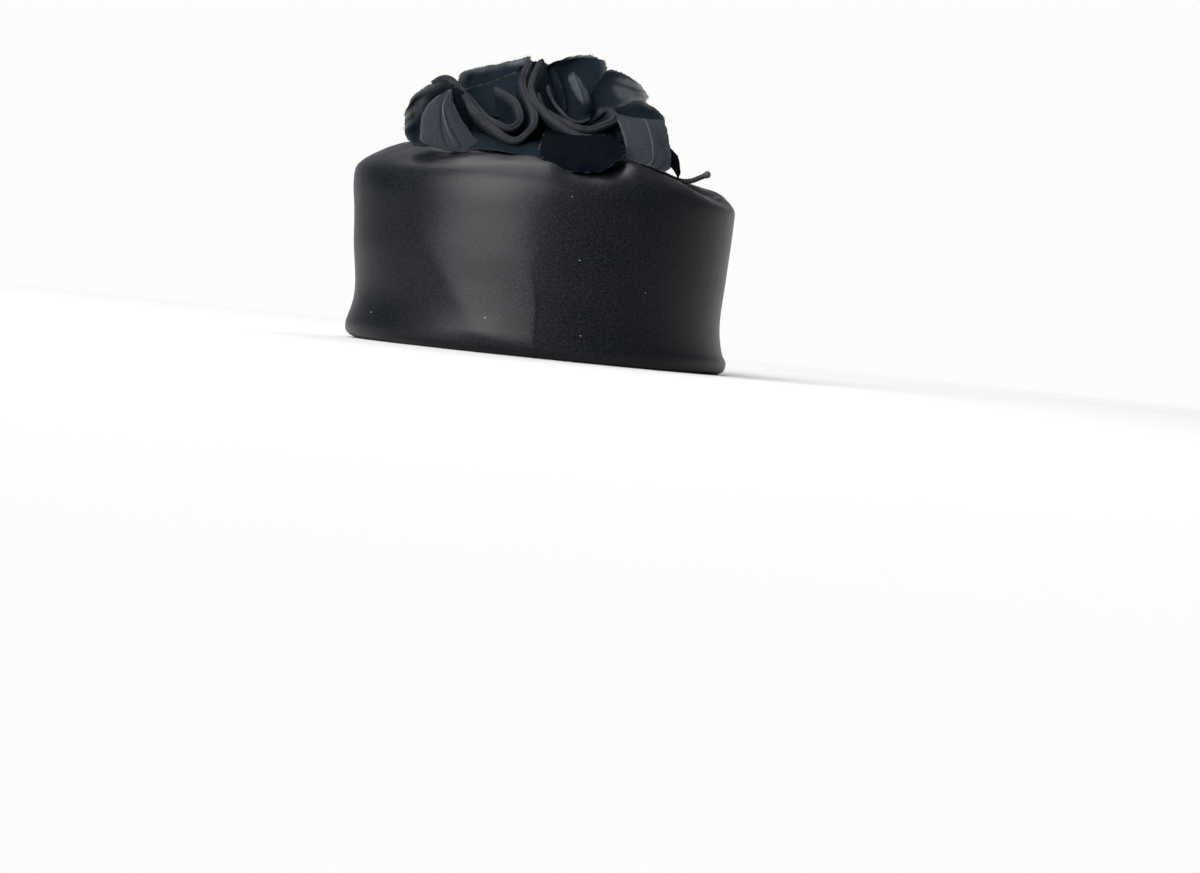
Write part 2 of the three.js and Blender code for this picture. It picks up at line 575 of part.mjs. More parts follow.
/** Closed sheet from a grid of middle points and half thicknesses, grown by `grow` all round. */
function sheetBody(grid, halves, grow) {
  const rows = grid.length;
  const cols = grid[0].length;
  const at = (i, j) => grid[Math.min(Math.max(i, 0), rows - 1)][Math.min(Math.max(j, 0), cols - 1)];
  const sides = [[], []];
  for (let i = 0; i < rows; i += 1)
    for (let j = 0; j < cols; j += 1) {
      const along = at(i + 1, j).clone().sub(at(i - 1, j)).normalize();
      const across = at(i, j + 1).clone().sub(at(i, j - 1)).normalize();
      const normal = new THREE.Vector3().crossVectors(along, across).normalize();
      const place = at(i, j).clone();
      if (i === 0) place.addScaledVector(along, -grow);
      if (i === rows - 1) place.addScaledVector(along, grow);
      if (j === 0) place.addScaledVector(across, -grow);
      if (j === cols - 1) place.addScaledVector(across, grow);
      sides.forEach((side, s) =>
        side.push(place.clone().addScaledVector(normal, (s ? -1 : 1) * (halves(i, j) + grow)).toArray()));
    }
  const count = rows * cols;
  const faces = [];
  const quad = (a, b, c, d) => faces.push([a, b, c], [a, c, d]);
  for (let i = 0; i + 1 < rows; i += 1)
    for (let j = 0; j + 1 < cols; j += 1) {
      const k = i * cols + j;
      quad(k, k + cols, k + cols + 1, k + 1);
      quad(count + k, count + k + 1, count + k + cols + 1, count + k + cols);
    }
  for (let i = 0; i + 1 < rows; i += 1) {
    const a = i * cols;
    const b = a + cols - 1;
    quad(a, count + a, count + a + cols, a + cols);
    quad(b + cols, count + b + cols, count + b, b);
  }
  for (let j = 0; j + 1 < cols; j += 1) {
    const b = (rows - 1) * cols + j;
    quad(j + 1, count + j + 1, count + j, j);
    quad(b, count + b, count + b + 1, b + 1);
  }
  return body([...sides[0], ...sides[1]], faces);
}

// ---- Roses -----------------------------------------------------------------

/** The three directions of a rose's frame: across, up its face, and out along its axis. */
function roseFrame(rose) {
  const [s, c] = [Math.sin(rose.tilt * RAD), Math.cos(rose.tilt * RAD)];
  return {
    heart: new THREE.Vector3(rose.x, rose.y, rose.z),
    across: new THREE.Vector3(1, 0, 0),
    up: new THREE.Vector3(0, c, s),
    out: new THREE.Vector3(0, -s, c),
  };
}

const FOLD_DEPTH = [0, 0.3, 0.6, 0.86, 0.95, 1]; // shares from the heart to the folded edge
const FOLD_HALF = [0.85, 0.7, 0.65, 0.9, 1.45, 0.95]; // half thickness there: the edge is rounded

/** One folded strip of a rose: its rounded edge follows the rows, its foot is at the heart. */
function foldBody(rose, fold, grow) {
  const frame = roseFrame(rose);
  const grid = [];
  for (let i = 0; i < fold.stations; i += 1) {
    const [across, up, out] = along(fold.rows, ["across", "up", "out"], i / (fold.stations - 1));
    const reach = Math.hypot(across, up) || 1;
    const away = frame.across.clone().multiplyScalar(across / reach).addScaledVector(frame.up, up / reach);
    const edge = frame.heart.clone().addScaledVector(away, reach).addScaledVector(frame.out, out);
    const foot = frame.heart.clone().addScaledVector(away, fold.root).addScaledVector(frame.out, 1);
    const bend = foot.clone().lerp(edge, 0.5).addScaledVector(away, fold.belly);
    grid.push(FOLD_DEPTH.map((s) =>
      foot.clone().multiplyScalar((1 - s) ** 2)
        .addScaledVector(bend, 2 * s * (1 - s))
        .addScaledVector(edge, s * s)));
  }
  return sheetBody(grid, (i, j) => FOLD_HALF[j], grow);
}

/** The bound neck that gathers the folds and stands on the crown. */
function neckBody(rose, grow) {
  const foot = HOLLOW_FLOOR - 3;
  const height = rose.z + 2 - foot;
  const profile = [new THREE.Vector2(0, -grow)];
  for (const row of NECK) profile.push(new THREE.Vector2(row.radius + grow, row.at * height + (row.at ? 0 : -grow)));
  profile.push(new THREE.Vector2(0, NECK.at(-1).at * height + grow));
  const neck = new THREE.LatheGeometry(profile, 14);
  neck.rotateX(Math.PI / 2);
  neck.translate(rose.x, rose.y + 1.5, foot);
  return fromGeometry(neck);
}

/** A rose's whole wound strip: its folds joined to its neck. */
function roseBody(rose, folds, grow) {
  const parts = [neckBody(rose, grow), ...folds.map((fold) => foldBody(rose, fold, grow))];
  return parts.reduce((a, b) => a.add(b));
}

// ---- Loose petals, leaves and stem ------------------------------------------

/** A loose petal or leaf from its table of stations. */
function petalBody(sheet, grow) {
  const grid = [];
  const centre = (t) => new THREE.Vector3(...along(sheet.rows, ["x", "y", "z"], t));
  for (let i = 0; i < SHEET_STATIONS; i += 1) {
    const t = i / (SHEET_STATIONS - 1);
    const [half, turn, rise, cup] = along(sheet.rows, ["half", "turn", "rise", "cup"], t);
    const side = new THREE.Vector3(
      Math.cos(turn * RAD) * Math.cos(rise * RAD),
      Math.sin(turn * RAD) * Math.cos(rise * RAD),
      Math.sin(rise * RAD),
    );
    const ahead = centre(Math.min(t + 0.02, 1)).sub(centre(Math.max(t - 0.02, 0))).normalize();
    const normal = new THREE.Vector3().crossVectors(side, ahead).normalize();
    if (normal.y > 0.2 || (Math.abs(normal.y) <= 0.2 && normal.z < 0)) normal.negate();
    const middle = centre(t);
    const line = [];
    for (let j = 0; j < SHEET_ACROSS; j += 1) {
      const s = -1 + (2 * j) / (SHEET_ACROSS - 1);
      line.push(middle.clone().addScaledVector(side, s * Math.max(half, 0.8)).addScaledVector(normal, cup * s * s));
    }
    grid.push(line);
  }
  return sheetBody(grid, () => sheet.thick / 2, grow);
}

/** The stem: a round cord swept along its path, with the frayed end of its binding. */
function stemBody(grow) {
  const path = new THREE.CatmullRomCurve3(STEM.map((p) => new THREE.Vector3(p.x, p.y, p.z)));
  const rings = [];
  const steps = 20;
  for (let i = 0; i <= steps; i += 1) {
    const t = i / steps;
    const middle = path.getPointAt(t);
    const ahead = path.getTangentAt(t);
    const side = new THREE.Vector3(0, 1, 0).cross(ahead).normalize();
    const up = ahead.clone().cross(side).normalize();
    const left = (1 - t) * path.getLength();
    const swell = left < STEM_KNOB.length ? Math.sin((left / STEM_KNOB.length) * Math.PI) : 0;
    const radius = STEM_RADIUS + (STEM_KNOB.radius - STEM_RADIUS) * swell + grow;
    if (i === 0) middle.addScaledVector(ahead, -grow);
    if (i === steps) middle.addScaledVector(ahead, grow);
    const ring = [];
    for (let k = 0; k < 8; k += 1) {
      const a = (k / 8) * 2 * Math.PI;
      ring.push(middle.clone()
        .addScaledVector(side, radius * Math.cos(a))
        .addScaledVector(up, radius * Math.sin(a)).toArray());
    }
    rings.push(ring);
  }
  const end = path.getPointAt(1).addScaledVector(path.getTangentAt(1), grow);
  const start = path.getPointAt(0).addScaledVector(path.getTangentAt(0), -grow);
  return ringBody(rings, start.toArray(), end.toArray());
}

// ---- Conversions and assembly ------------------------------------------------

function fromGeometry(geometry) {
  geometry.deleteAttribute("normal");
  geometry.deleteAttribute("uv");
  const merged = mergeVertices(geometry, 1e-4);
  const points = [];
  const p = merged.getAttribute("position");
  for (let i = 0; i < p.count; i += 1) points.push([p.getX(i), p.getY(i), p.getZ(i)]);
  const faces = [];
  const idx = merged.index.array;
  for (let i = 0; i < idx.length; i += 3) {
    const [a, b, c] = [idx[i], idx[i + 1], idx[i + 2]];
    if (a !== b && b !== c && a !== c) faces.push([a, b, c]);
  }
  return body(points, faces);
}

/** The largest body left after trimming. */
function mainBody(solid) {
  const bodies = solid.decompose();
  return bodies.reduce((a, b) => (b.volume() > a.volume() ? b : a));
}

function toGeometry(solid) {
  const mesh = solid.getMesh();
  const geometry = new THREE.BufferGeometry();
  const points = new Float32Array(mesh.numVert * 3);
  for (let i = 0; i < mesh.numVert; i += 1)
    for (let k = 0; k < 3; k += 1) points[i * 3 + k] = mesh.vertProperties[i * mesh.numProp + k];
  geometry.setAttribute("position", new THREE.BufferAttribute(points, 3));
  geometry.setIndex(Array.from(mesh.triVerts));
  geometry.computeVertexNormals();
  return geometry;
}

const FINISHES = {
  satin: { color: 0x17191d, roughness: 0.42, metalness: 0 },
  silk: { color: 0x1a1c22, roughness: 0.7, metalness: 0 },
  leaf: { color: 0x33343d, roughness: 0.85, metalness: 0 },
  binding: { color: 0x1d1f24, roughness: 0.8, metalness: 0 },
};

const hat = new THREE.Group();
hat.name = "pillbox_hat";

function addPiece(name, solid, finish) {
  const mesh = new THREE.Mesh(toGeometry(solid), new THREE.MeshStandardMaterial(FINISHES[finish]));
  mesh.name = name;
  hat.add(mesh);
}

addPiece("crown", crownShell(), "satin");

// Every later piece is trimmed clear of the space taken by the ones before it.
let taken = crownSpace();
const PIECES = [
  ["front_rose_swirl", "silk", (grow) => roseBody(FRONT_ROSE, FRONT_ROSE_FOLDS, grow)],
  ["back_rose_swirl", "silk", (grow) => roseBody(BACK_ROSE, BACK_ROSE_FOLDS, grow)],
  ["stem", "binding", stemBody],
  ...[
    ["back_leaf", "leaf"],
    ["front_leaf", "leaf"],
    ["low_petal", "silk"],
    ["back_rose_low_petal", "silk"],
    ["middle_petal", "silk"],
    ["front_rose_hood_petal", "silk"],
    ["front_rose_bud_petal", "silk"],
    ["front_rose_side_petal", "silk"],
    ["front_rose_corner_petal", "silk"],
    ["back_rose_inner_petal", "silk"],
    ["back_rose_top_petal", "silk"],
    ["back_rose_side_petal", "silk"],
    ["small_leaf", "leaf"],
    ["rear_left_petal", "silk"],
    ["rear_right_petal", "silk"],
    ["rear_middle_petal", "silk"],
    ["rear_left_leaf", "leaf"],
    ["rear_right_leaf", "leaf"],
  ].map(([name, finish]) => [name, finish, (grow) => petalBody(SHEETS[name], grow)]),
];
for (const [name, finish, make] of PIECES) {
  const solid = mainBody(make(0).subtract(taken)).simplify(DETAIL);
  addPiece(name, solid, finish);
  taken = taken.add(make(GAP));
}

export default hat;
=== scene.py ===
"""Looks of a satin pillbox hat trimmed with two folded silk roses, leaves, petals and a bound stem.

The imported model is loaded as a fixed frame. Every cloth piece of the hat is made again here as
finely worked cloth in the space its solid holds, and replaces that solid in the picture.
Tables are in millimetres; meshes are in metres.
"""

import logging
import math
from dataclasses import dataclass, field
from enum import Enum
from typing import Callable, NamedTuple

import bpy
import numpy as np
from mathutils import Matrix, Vector, noise

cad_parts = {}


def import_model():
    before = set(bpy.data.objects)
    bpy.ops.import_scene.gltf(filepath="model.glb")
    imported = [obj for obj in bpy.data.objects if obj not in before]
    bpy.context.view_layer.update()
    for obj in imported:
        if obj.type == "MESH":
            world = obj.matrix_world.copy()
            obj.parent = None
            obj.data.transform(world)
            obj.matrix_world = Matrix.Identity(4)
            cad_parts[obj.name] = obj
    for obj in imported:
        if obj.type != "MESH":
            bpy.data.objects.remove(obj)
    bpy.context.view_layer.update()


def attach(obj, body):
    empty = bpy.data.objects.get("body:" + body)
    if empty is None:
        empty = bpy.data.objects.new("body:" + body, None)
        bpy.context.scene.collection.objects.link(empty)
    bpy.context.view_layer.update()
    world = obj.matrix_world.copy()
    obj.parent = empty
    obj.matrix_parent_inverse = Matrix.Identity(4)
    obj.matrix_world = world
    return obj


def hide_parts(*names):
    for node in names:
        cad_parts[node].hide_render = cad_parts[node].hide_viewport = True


log = logging.getLogger("hat")

MM = 0.001
SEAM = 0.000005
THIRD_TURN = 2.0944
Array = np.ndarray


class Slot(Enum):
    """Kinds of cloth that a petal is cut from."""

    SATIN = "satin"
    SILK = "silk"
    LEAF = "leaf"
    BINDING = "binding"


class Hold(Enum):
    """How a piece of cloth is held."""

    GATHERED = "gathered"
    FOLDED = "folded"
    STRETCHED = "stretched"


# ---- Smooth curves through tables -----------------------------------------------------------


def along(rows: Array, at: Array) -> Array:
    """Rounded path through the rows of a table.

    Args:
        rows: Table of n rows by k columns.
        at: Shares of the way along, from 0 to 1.

    Returns:
        An array of len(at) rows by k columns.
    """
    last = len(rows) - 1
    place = np.clip(at, 0, 1) * last
    i = np.minimum(np.floor(place).astype(int), last - 1)
    f = (place - i)[:, None]
    a, b, c, d = (rows[np.clip(i + k, 0, last)] for k in (-1, 0, 1, 2))
    return 0.5 * (
        2 * b + (c - a) * f + (2 * a - 5 * b + 4 * c - d) * f**2 + (3 * b - a - 3 * c + d) * f**3
    )


def through(knots: Array, values: Array, at: Array) -> Array:
    """Smooth values through knots, without overshoot between them.

    Args:
        knots: Rising places of the known values.
        values: The known values.
        at: Places to read.

    Returns:
        The value at each place.
    """
    step = np.diff(knots)
    slope = np.diff(values) / step
    tangent = np.zeros(len(knots))
    product = slope[:-1] * slope[1:]
    total = slope[:-1] + slope[1:]
    safe = np.where(np.abs(total) < 1e-12, 1.0, total)
    tangent[1:-1] = np.where(product > 0, 2 * product / safe, 0)
    tangent[0] = slope[0]
    tangent[-1] = slope[-1]
    i = np.clip(np.searchsorted(knots, at) - 1, 0, len(step) - 1)
    t = np.clip((at - knots[i]) / step[i], 0, 1)
    return (
        values[i] * (1 + 2 * t) * (1 - t) ** 2
        + tangent[i] * step[i] * t * (1 - t) ** 2
        + values[i + 1] * t * t * (3 - 2 * t)
        + tangent[i + 1] * step[i] * t * t * (t - 1)
    )


def ease(value: Array, low: float, high: float) -> Array:
    """Soft step from 0 at low to 1 at high."""
    t = np.clip((value - low) / (high - low), 0, 1)
    return t * t * (3 - 2 * t)


def unit(vectors: Array) -> Array:
    """Vectors brought to length 1."""
    return vectors / np.maximum(np.linalg.norm(vectors, axis=-1, keepdims=True), 1e-9)


def grid_normals(points: Array) -> Array:
    """Direction that each point of a grid of points faces."""
    return unit(np.cross(np.gradient(points, axis=0), np.gradient(points, axis=1)))


def grid_measure(over: Array, down: Array, shape: tuple[int, int]) -> Array:
    """Two measures spread over a grid and put side by side: rows by columns by 2."""
    return np.stack([np.broadcast_to(over, shape), np.broadcast_to(down, shape)], 2)


def wander(points: Array, scale: float, seed: float) -> Array:
    """Soft random values, from about -1 to 1, that change slowly from place to place.

    Args:
        points: Array whose last axis holds x, y, z in mm.
        scale: Size in mm of one soft patch.
        seed: Number that picks another pattern.

    Returns:
        One value for each point.
    """
    flat = points.reshape(-1, 3) / scale + seed * 7.31
    values = [noise.noise(Vector(p)) for p in flat]
    return np.array(values).reshape(points.shape[:-1]) * 1.6


# ---- Meshes -----------------------------------------------------------------------------------


@dataclass
class Cloth:
    """A worked face of cloth: a grid of points with its own measure and marks, all in mm."""

    points: Array
    uv: Array
    marks: dict[str, Array] = field(default_factory=dict)


@dataclass
class Shell:
    """Vertices and faces of a piece under way, with a measure and marks at each vertex."""

    points: list[Array] = field(default_factory=list)
    uv: list[Array] = field(default_factory=list)
    marks: list[dict[str, Array]] = field(default_factory=list)
    faces: list[tuple[int, ...]] = field(default_factory=list)
    count: int = 0

    def add(self, points: Array, uv: Array, marks: dict[str, Array]) -> int:
        """Adds vertices.

        Args:
            points: Places in mm, n by 3.
            uv: Measure along the cloth in mm, n by 2.
            marks: Named values, n each.

        Returns:
            The number of the first of them.
        """
        start = self.count
        self.points.append(points)
        self.uv.append(uv)
        self.marks.append(marks)
        self.count += len(points)
        return start

    def sheet(self, cloth: Cloth, half: Array) -> None:
        """Adds a closed sheet of cloth with rounded borders.

        Args:
            cloth: The middle of the sheet.
            half: Half its thickness at each point of the grid.
        """
        rows, cols = cloth.points.shape[:2]
        normal = grid_normals(cloth.points)
        flat_uv = cloth.uv.reshape(-1, 2)
        marks = {key: value.ravel() for key, value in cloth.marks.items()}
        offset = normal * half[..., None]
        front = self.add((cloth.points + offset).reshape(-1, 3), flat_uv, marks)
        back = self.add((cloth.points - offset).reshape(-1, 3), flat_uv, marks)
        i, j = np.mgrid[0 : rows - 1, 0 : cols - 1]
        k = (i * cols + j).ravel()
        quads = np.stack([k, k + 1, k + cols + 1, k + cols], 1)
        self.faces += [tuple(q) for q in (quads[:, ::-1] + front).tolist()]
        self.faces += [tuple(q) for q in (quads + back).tolist()]
        border = border_of(rows, cols)
        inner = np.array([inward(b, rows, cols) for b in border])
        flat = cloth.points.reshape(-1, 3)
        out = unit(flat[border] - flat[inner])
        rim_points = flat[border] + out * half.ravel()[border][:, None]
        rim_marks = {key: value[border] for key, value in marks.items()}
        rim = self.add(rim_points, flat_uv[border], rim_marks)
        count = len(border)
        for n in range(count):
            m = (n + 1) % count
            a, b = int(border[n]), int(border[m])
            self.faces.append((front + a, front + b, rim + m, rim + n))
            self.faces.append((rim + n, rim + m, back + b, back + a))

    def tube(self, side: Cloth, ends: Cloth) -> None:
        """Adds a closed tube.

        Args:
            side: Its loops: stations by points round it.
            ends: The middle of its first and of its last loop.
        """
        stations, ring = side.points.shape[:2]
        marks = {key: value.ravel() for key, value in side.marks.items()}
        first = self.add(side.points.reshape(-1, 3), side.uv.reshape(-1, 2), marks)
        last = first + (stations - 1) * ring
        for start in range(first, last, ring):
            for k in range(ring):
                a, b = start + k, start + (k + 1) % ring
                self.faces.append((a, b, b + ring, a + ring))
        pole = self.add(ends.points, ends.uv, ends.marks)
        for k in range(ring):
            after = (k + 1) % ring
            self.faces.append((pole, first + after, first + k))
            self.faces.append((pole + 1, last + k, last + after))

    def fibre(self, start: Array, ahead: Array, bend: Array, width: float, uv: Array, mark: float) -> None:
        """Adds one loose thread: a fine tapered three-sided strand.

        Args:
            start: Where it leaves the cloth.
            ahead: Its direction and length.
            bend: How far its end is drawn aside.
            width: Its thickness at the root.
            uv: Measure of the cloth where it starts.
            mark: Value of the edge mark along it.
        """
        axis = unit(ahead)
        side = unit(np.cross(axis, [0.31, 0.52, 0.79]))
        other = np.cross(axis, side)
        rings = []
        for share, size in ((-0.12, 1.0), (0.45, 0.8), (0.8, 0.55)):
            middle = start + ahead * share + bend * max(share, 0) ** 2
            for turn in range(3):
                angle = turn * THIRD_TURN
                out = side * math.cos(angle) + other * math.sin(angle)
                rings.append(middle + out * width * size / 2)
        rings.append(start + ahead + bend)
        points = np.array(rings)
        count = len(points)
        first = self.add(points, np.tile(uv, (count, 1)), {"edge": np.full(count, mark)})
        for ring in range(2):
            for turn in range(3):
                a, b = first + ring * 3 + turn, first + ring * 3 + (turn + 1) % 3
                self.faces.append((a, b, b + 3, a + 3))
        for turn in range(3):
            self.faces.append((first + 6 + turn, first + 6 + (turn + 1) % 3, first + 9))
        self.faces.append((first + 2, first + 1, first))

    def build(self, name: str) -> bpy.types.Object:
        """Makes the Blender object.

        Args:
            name: Name of the piece.

        Returns:
            The object, smooth shaded, facing outwards, with its UV map and marks.
        """
        points = np.concatenate(self.points) * MM
        uv = np.concatenate(self.uv) * MM
        mesh = bpy.data.meshes.new(name)
        mesh.from_pydata(points.tolist(), [], self.faces)
        mesh.validate()
        corners = np.zeros(len(mesh.loops), np.int32)
        mesh.loops.foreach_get("vertex_index", corners)
        layer = mesh.uv_layers.new(name="cloth")
        layer.data.foreach_set("uv", uv[corners].ravel().astype(np.float32))
        names = sorted({key for marks in self.marks for key in marks})
        for key in names:
            values = [
                marks.get(key, np.zeros(len(block)))
                for marks, block in zip(self.marks, self.points)
            ]
            attribute = mesh.attributes.new(name=key, type="FLOAT", domain="POINT")
            attribute.data.foreach_set("value", np.concatenate(values).astype(np.float32))
        mesh.update()
        piece = bpy.data.objects.new(name, mesh)
        smooth(piece)
        bpy.context.scene.collection.objects.link(piece)
        return piece


def border_of(rows: int, cols: int) -> Array:
    """Numbers of a grid's border points.

    Args:
        rows: Number of its rows.
        cols: Number of its columns.

    Returns:
        The numbers, in order round the grid.
    """
    low = list(range(cols))
    right = [i * cols + cols - 1 for i in range(1, rows)]
    high = [(rows - 1) * cols + j for j in range(cols - 2, -1, -1)]
    left = [i * cols for i in range(rows - 2, 0, -1)]
    return np.array(low + right + high + left)


def inward(point: int, rows: int, cols: int) -> int:
    """Finds the grid point just inside a border point.

    Args:
        point: Number of the border point.
        rows: Number of the grid's rows.
        cols: Number of its columns.

    Returns:
        The number of the point inside.
    """
    i, j = divmod(point, cols)
    i = min(max(i, 1), rows - 2)
    j = min(max(j, 1), cols - 2)
    return i * cols + j


def measure(points: Array) -> Array:
    """Measure of a grid of cloth in mm: across it and along it, from its middle column.

    Args:
        points: Grid of points, rows by columns by 3.

    Returns:
        Rows by columns by 2.
    """
    over = np.linalg.norm(np.diff(points, axis=1), axis=2)
    u = np.concatenate([np.zeros((len(points), 1)), np.cumsum(over, axis=1)], axis=1)
    u -= u[:, u.shape[1] // 2][:, None]
    down = np.linalg.norm(np.diff(points, axis=0), axis=2).mean(axis=1)
    v = np.concatenate([[0], np.cumsum(down)])
    return grid_measure(u, v[:, None], u.shape)


# ---- Shader building ----------------------------------------------------------------------------


class Wire:
    """A value in a shader that adds Math nodes when it is used in arithmetic."""

    def __init__(self, graph: "Graph", socket: bpy.types.NodeSocket) -> None:
        """Keeps the graph and the socket that the value comes from."""
        self.graph = graph
        self.socket = socket

    def _math(self, operation: str, first: object, second: object) -> "Wire":
        """Adds one Math node and returns its result."""
        node = self.graph.node("ShaderNodeMath", {"operation": operation}, {0: first, 1: second})
        return Wire(self.graph, node.outputs[0])

    def __add__(self, other: object) -> "Wire":
        """Sum."""
        return self._math("ADD", self, other)

    __radd__ = __add__

    def __sub__(self, other: object) -> "Wire":
        """Difference."""
        return self._math("SUBTRACT", self, other)

    def __rsub__(self, other: object) -> "Wire":
        """Difference with the number first."""
        return self._math("SUBTRACT", other, self)

    def __mul__(self, other: object) -> "Wire":
        """Product."""
        return self._math("MULTIPLY", self, other)

    __rmul__ = __mul__

    def __truediv__(self, other: object) -> "Wire":
        """Quotient."""
        return self._math("DIVIDE", self, other)

    def __pow__(self, other: object) -> "Wire":
        """Power."""
        return self._math("POWER", self, other)

    def below(self, other: object) -> "Wire":
        """1 where this is less than the other."""
        return self._math("LESS_THAN", self, other)

    def above(self, other: object) -> "Wire":
        """1 where this is greater than the other."""
        return self._math("GREATER_THAN", self, other)

    def sine(self) -> "Wire":
        """Sine of the value."""
        return self._math("SINE", self, 0.0)

    def span(self, low: float, high: float) -> "Wire":
        """Soft step from 0 at low to 1 at high."""
        node = self.graph.node(
            "ShaderNodeMapRange",
            {"interpolation_type": "SMOOTHSTEP"},
            {"Value": self, "From Min": low, "From Max": high, "To Min": 0.0, "To Max": 1.0},
        )
        return Wire(self.graph, node.outputs[0])


class Graph:
    """The nodes of one material or world."""

    def __init__(self, tree: bpy.types.NodeTree) -> None:
        """Starts from an empty tree."""
        self.tree = tree
        tree.nodes.clear()

    def node(self, kind: str, settings: dict | None = None, inputs: dict | None = None) -> bpy.types.Node:
        """Adds a node.

        Args:
            kind: Blender's type name of the node.
            settings: Its own settings, set first; a ramp takes its stops under "stops".
            inputs: Values or links of its sockets, by name or number.

        Returns:
            The new node.
        """
        node = self.tree.nodes.new(kind)
        for key, value in (settings or {}).items():
            if key == "stops":
                set_stops(node.color_ramp, value)
            else:
                setattr(node, key, value)
        for key, value in (inputs or {}).items():
            socket = node.inputs[key]
            if isinstance(value, Wire):
                self.tree.links.new(value.socket, socket)
            elif isinstance(value, bpy.types.NodeSocket):
                self.tree.links.new(value, socket)
            else:
                socket.default_value = value
        return node

    def wire(self, node: bpy.types.Node, output: str | int = 0) -> Wire:
        """A value from a node's output."""
        return Wire(self, node.outputs[output])

    def mark(self, name: str) -> Wire:
        """A mark kept on the mesh."""
        node = self.node("ShaderNodeAttribute", {"attribute_type": "GEOMETRY", "attribute_name": name})
        return self.wire(node, "Fac")

    def cloth_place(self, turn: float, size: tuple[float, float]) -> bpy.types.NodeSocket:
        """Place on the cloth, turned and divided into cells.

        Args:
            turn: Turn of the pattern in degrees.
            size: Width and length of a cell in mm.

        Returns:
            The vector's socket.
        """
        uv = self.node("ShaderNodeUVMap", {"uv_map": "cloth"})
        turned = self.node(
            "ShaderNodeMapping",
            {"vector_type": "POINT"},
            {"Vector": uv.outputs[0], "Rotation": (0.0, 0.0, math.radians(turn))},
        )
        scaled = self.node(
            "ShaderNodeMapping",
            {"vector_type": "POINT"},
            {"Vector": turned.outputs[0], "Scale": (1000 / size[0], 1000 / size[1], 1.0)},
        )
        return scaled.outputs[0]

    def solid_place(self, size: float) -> bpy.types.NodeSocket:
        """Place in the object, in cells of the given size in mm."""
        place = self.node("ShaderNodeTexCoord")
        scaled = self.node(
            "ShaderNodeMapping",
            {"vector_type": "POINT"},
            {"Vector": place.outputs["Object"], "Scale": (1000 / size,) * 3},
        )
        return scaled.outputs[0]

    def clouds(self, place: bpy.types.NodeSocket, detail: float = 2.0, rough: float = 0.55) -> Wire:
        """Soft noise from 0 to 1 in cells of the given place."""
        node = self.node(
            "ShaderNodeTexNoise",
            {"noise_dimensions": "3D"},
            {"Vector": place, "Scale": 1.0, "Detail": detail, "Roughness": rough},
        )
        return self.wire(node, 0)

    def blend(self, factor: Wire, first: object, second: object) -> bpy.types.NodeSocket:
        """Colour between two colours."""
        node = self.node("ShaderNodeMix", {"data_type": "RGBA"}, {0: factor, 6: first, 7: second})
        return node.outputs[2]

    def bump(
        self, height: Wire, depth: float, below: bpy.types.NodeSocket | None = None
    ) -> bpy.types.NodeSocket:
        """Relief of the surface.

        Args:
            height: Height from 0 to 1.
            depth: Height in mm that 1 stands for.
            below: Relief that this one lies on.

        Returns:
            The normal's socket.
        """
        inputs: dict = {"Height": height, "Distance": depth * MM, "Strength": 1.0}
        if below is not None:
            inputs["Normal"] = below
        return self.node("ShaderNodeBump", {}, inputs).outputs[0]


def set_stops(ramp: bpy.types.ColorRamp, stops: list[tuple[float, tuple]]) -> None:
    """Sets a ramp's stops.

    Args:
        ramp: The ramp to set.
        stops: Places and colours, in order.
    """
    while len(ramp.elements) > len(stops):
        ramp.elements.remove(ramp.elements[-1])
    while len(ramp.elements) < len(stops):
        ramp.elements.new(1.0)
    for element, (place, colour) in zip(ramp.elements, stops):
        element.position = place
        element.color = colour


def colour(red: float, green: float, blue: float) -> tuple[float, float, float, float]:
    """A linear colour with full alpha."""
    return (red, green, blue, 1.0)


def new_material(name: str) -> tuple[bpy.types.Material, Graph]:
    """Makes an empty material with nodes.

    Args:
        name: Its name.

    Returns:
        The material and its graph.
    """
    material = bpy.data.materials.new(name)
    material.use_nodes = True
    return material, Graph(material.node_tree)


def close_material(graph: Graph, inputs: dict) -> None:
    """Adds the surface shader and joins it to the output.

    Args:
        graph: The material's graph.
        inputs: The shader's inputs, by name.
    """
    shader = graph.node("ShaderNodeBsdfPrincipled", {}, inputs)
    graph.node("ShaderNodeOutputMaterial", {}, {"Surface": shader.outputs[0]})


# ---- Finishes -------------------------------------------------------------------------------------


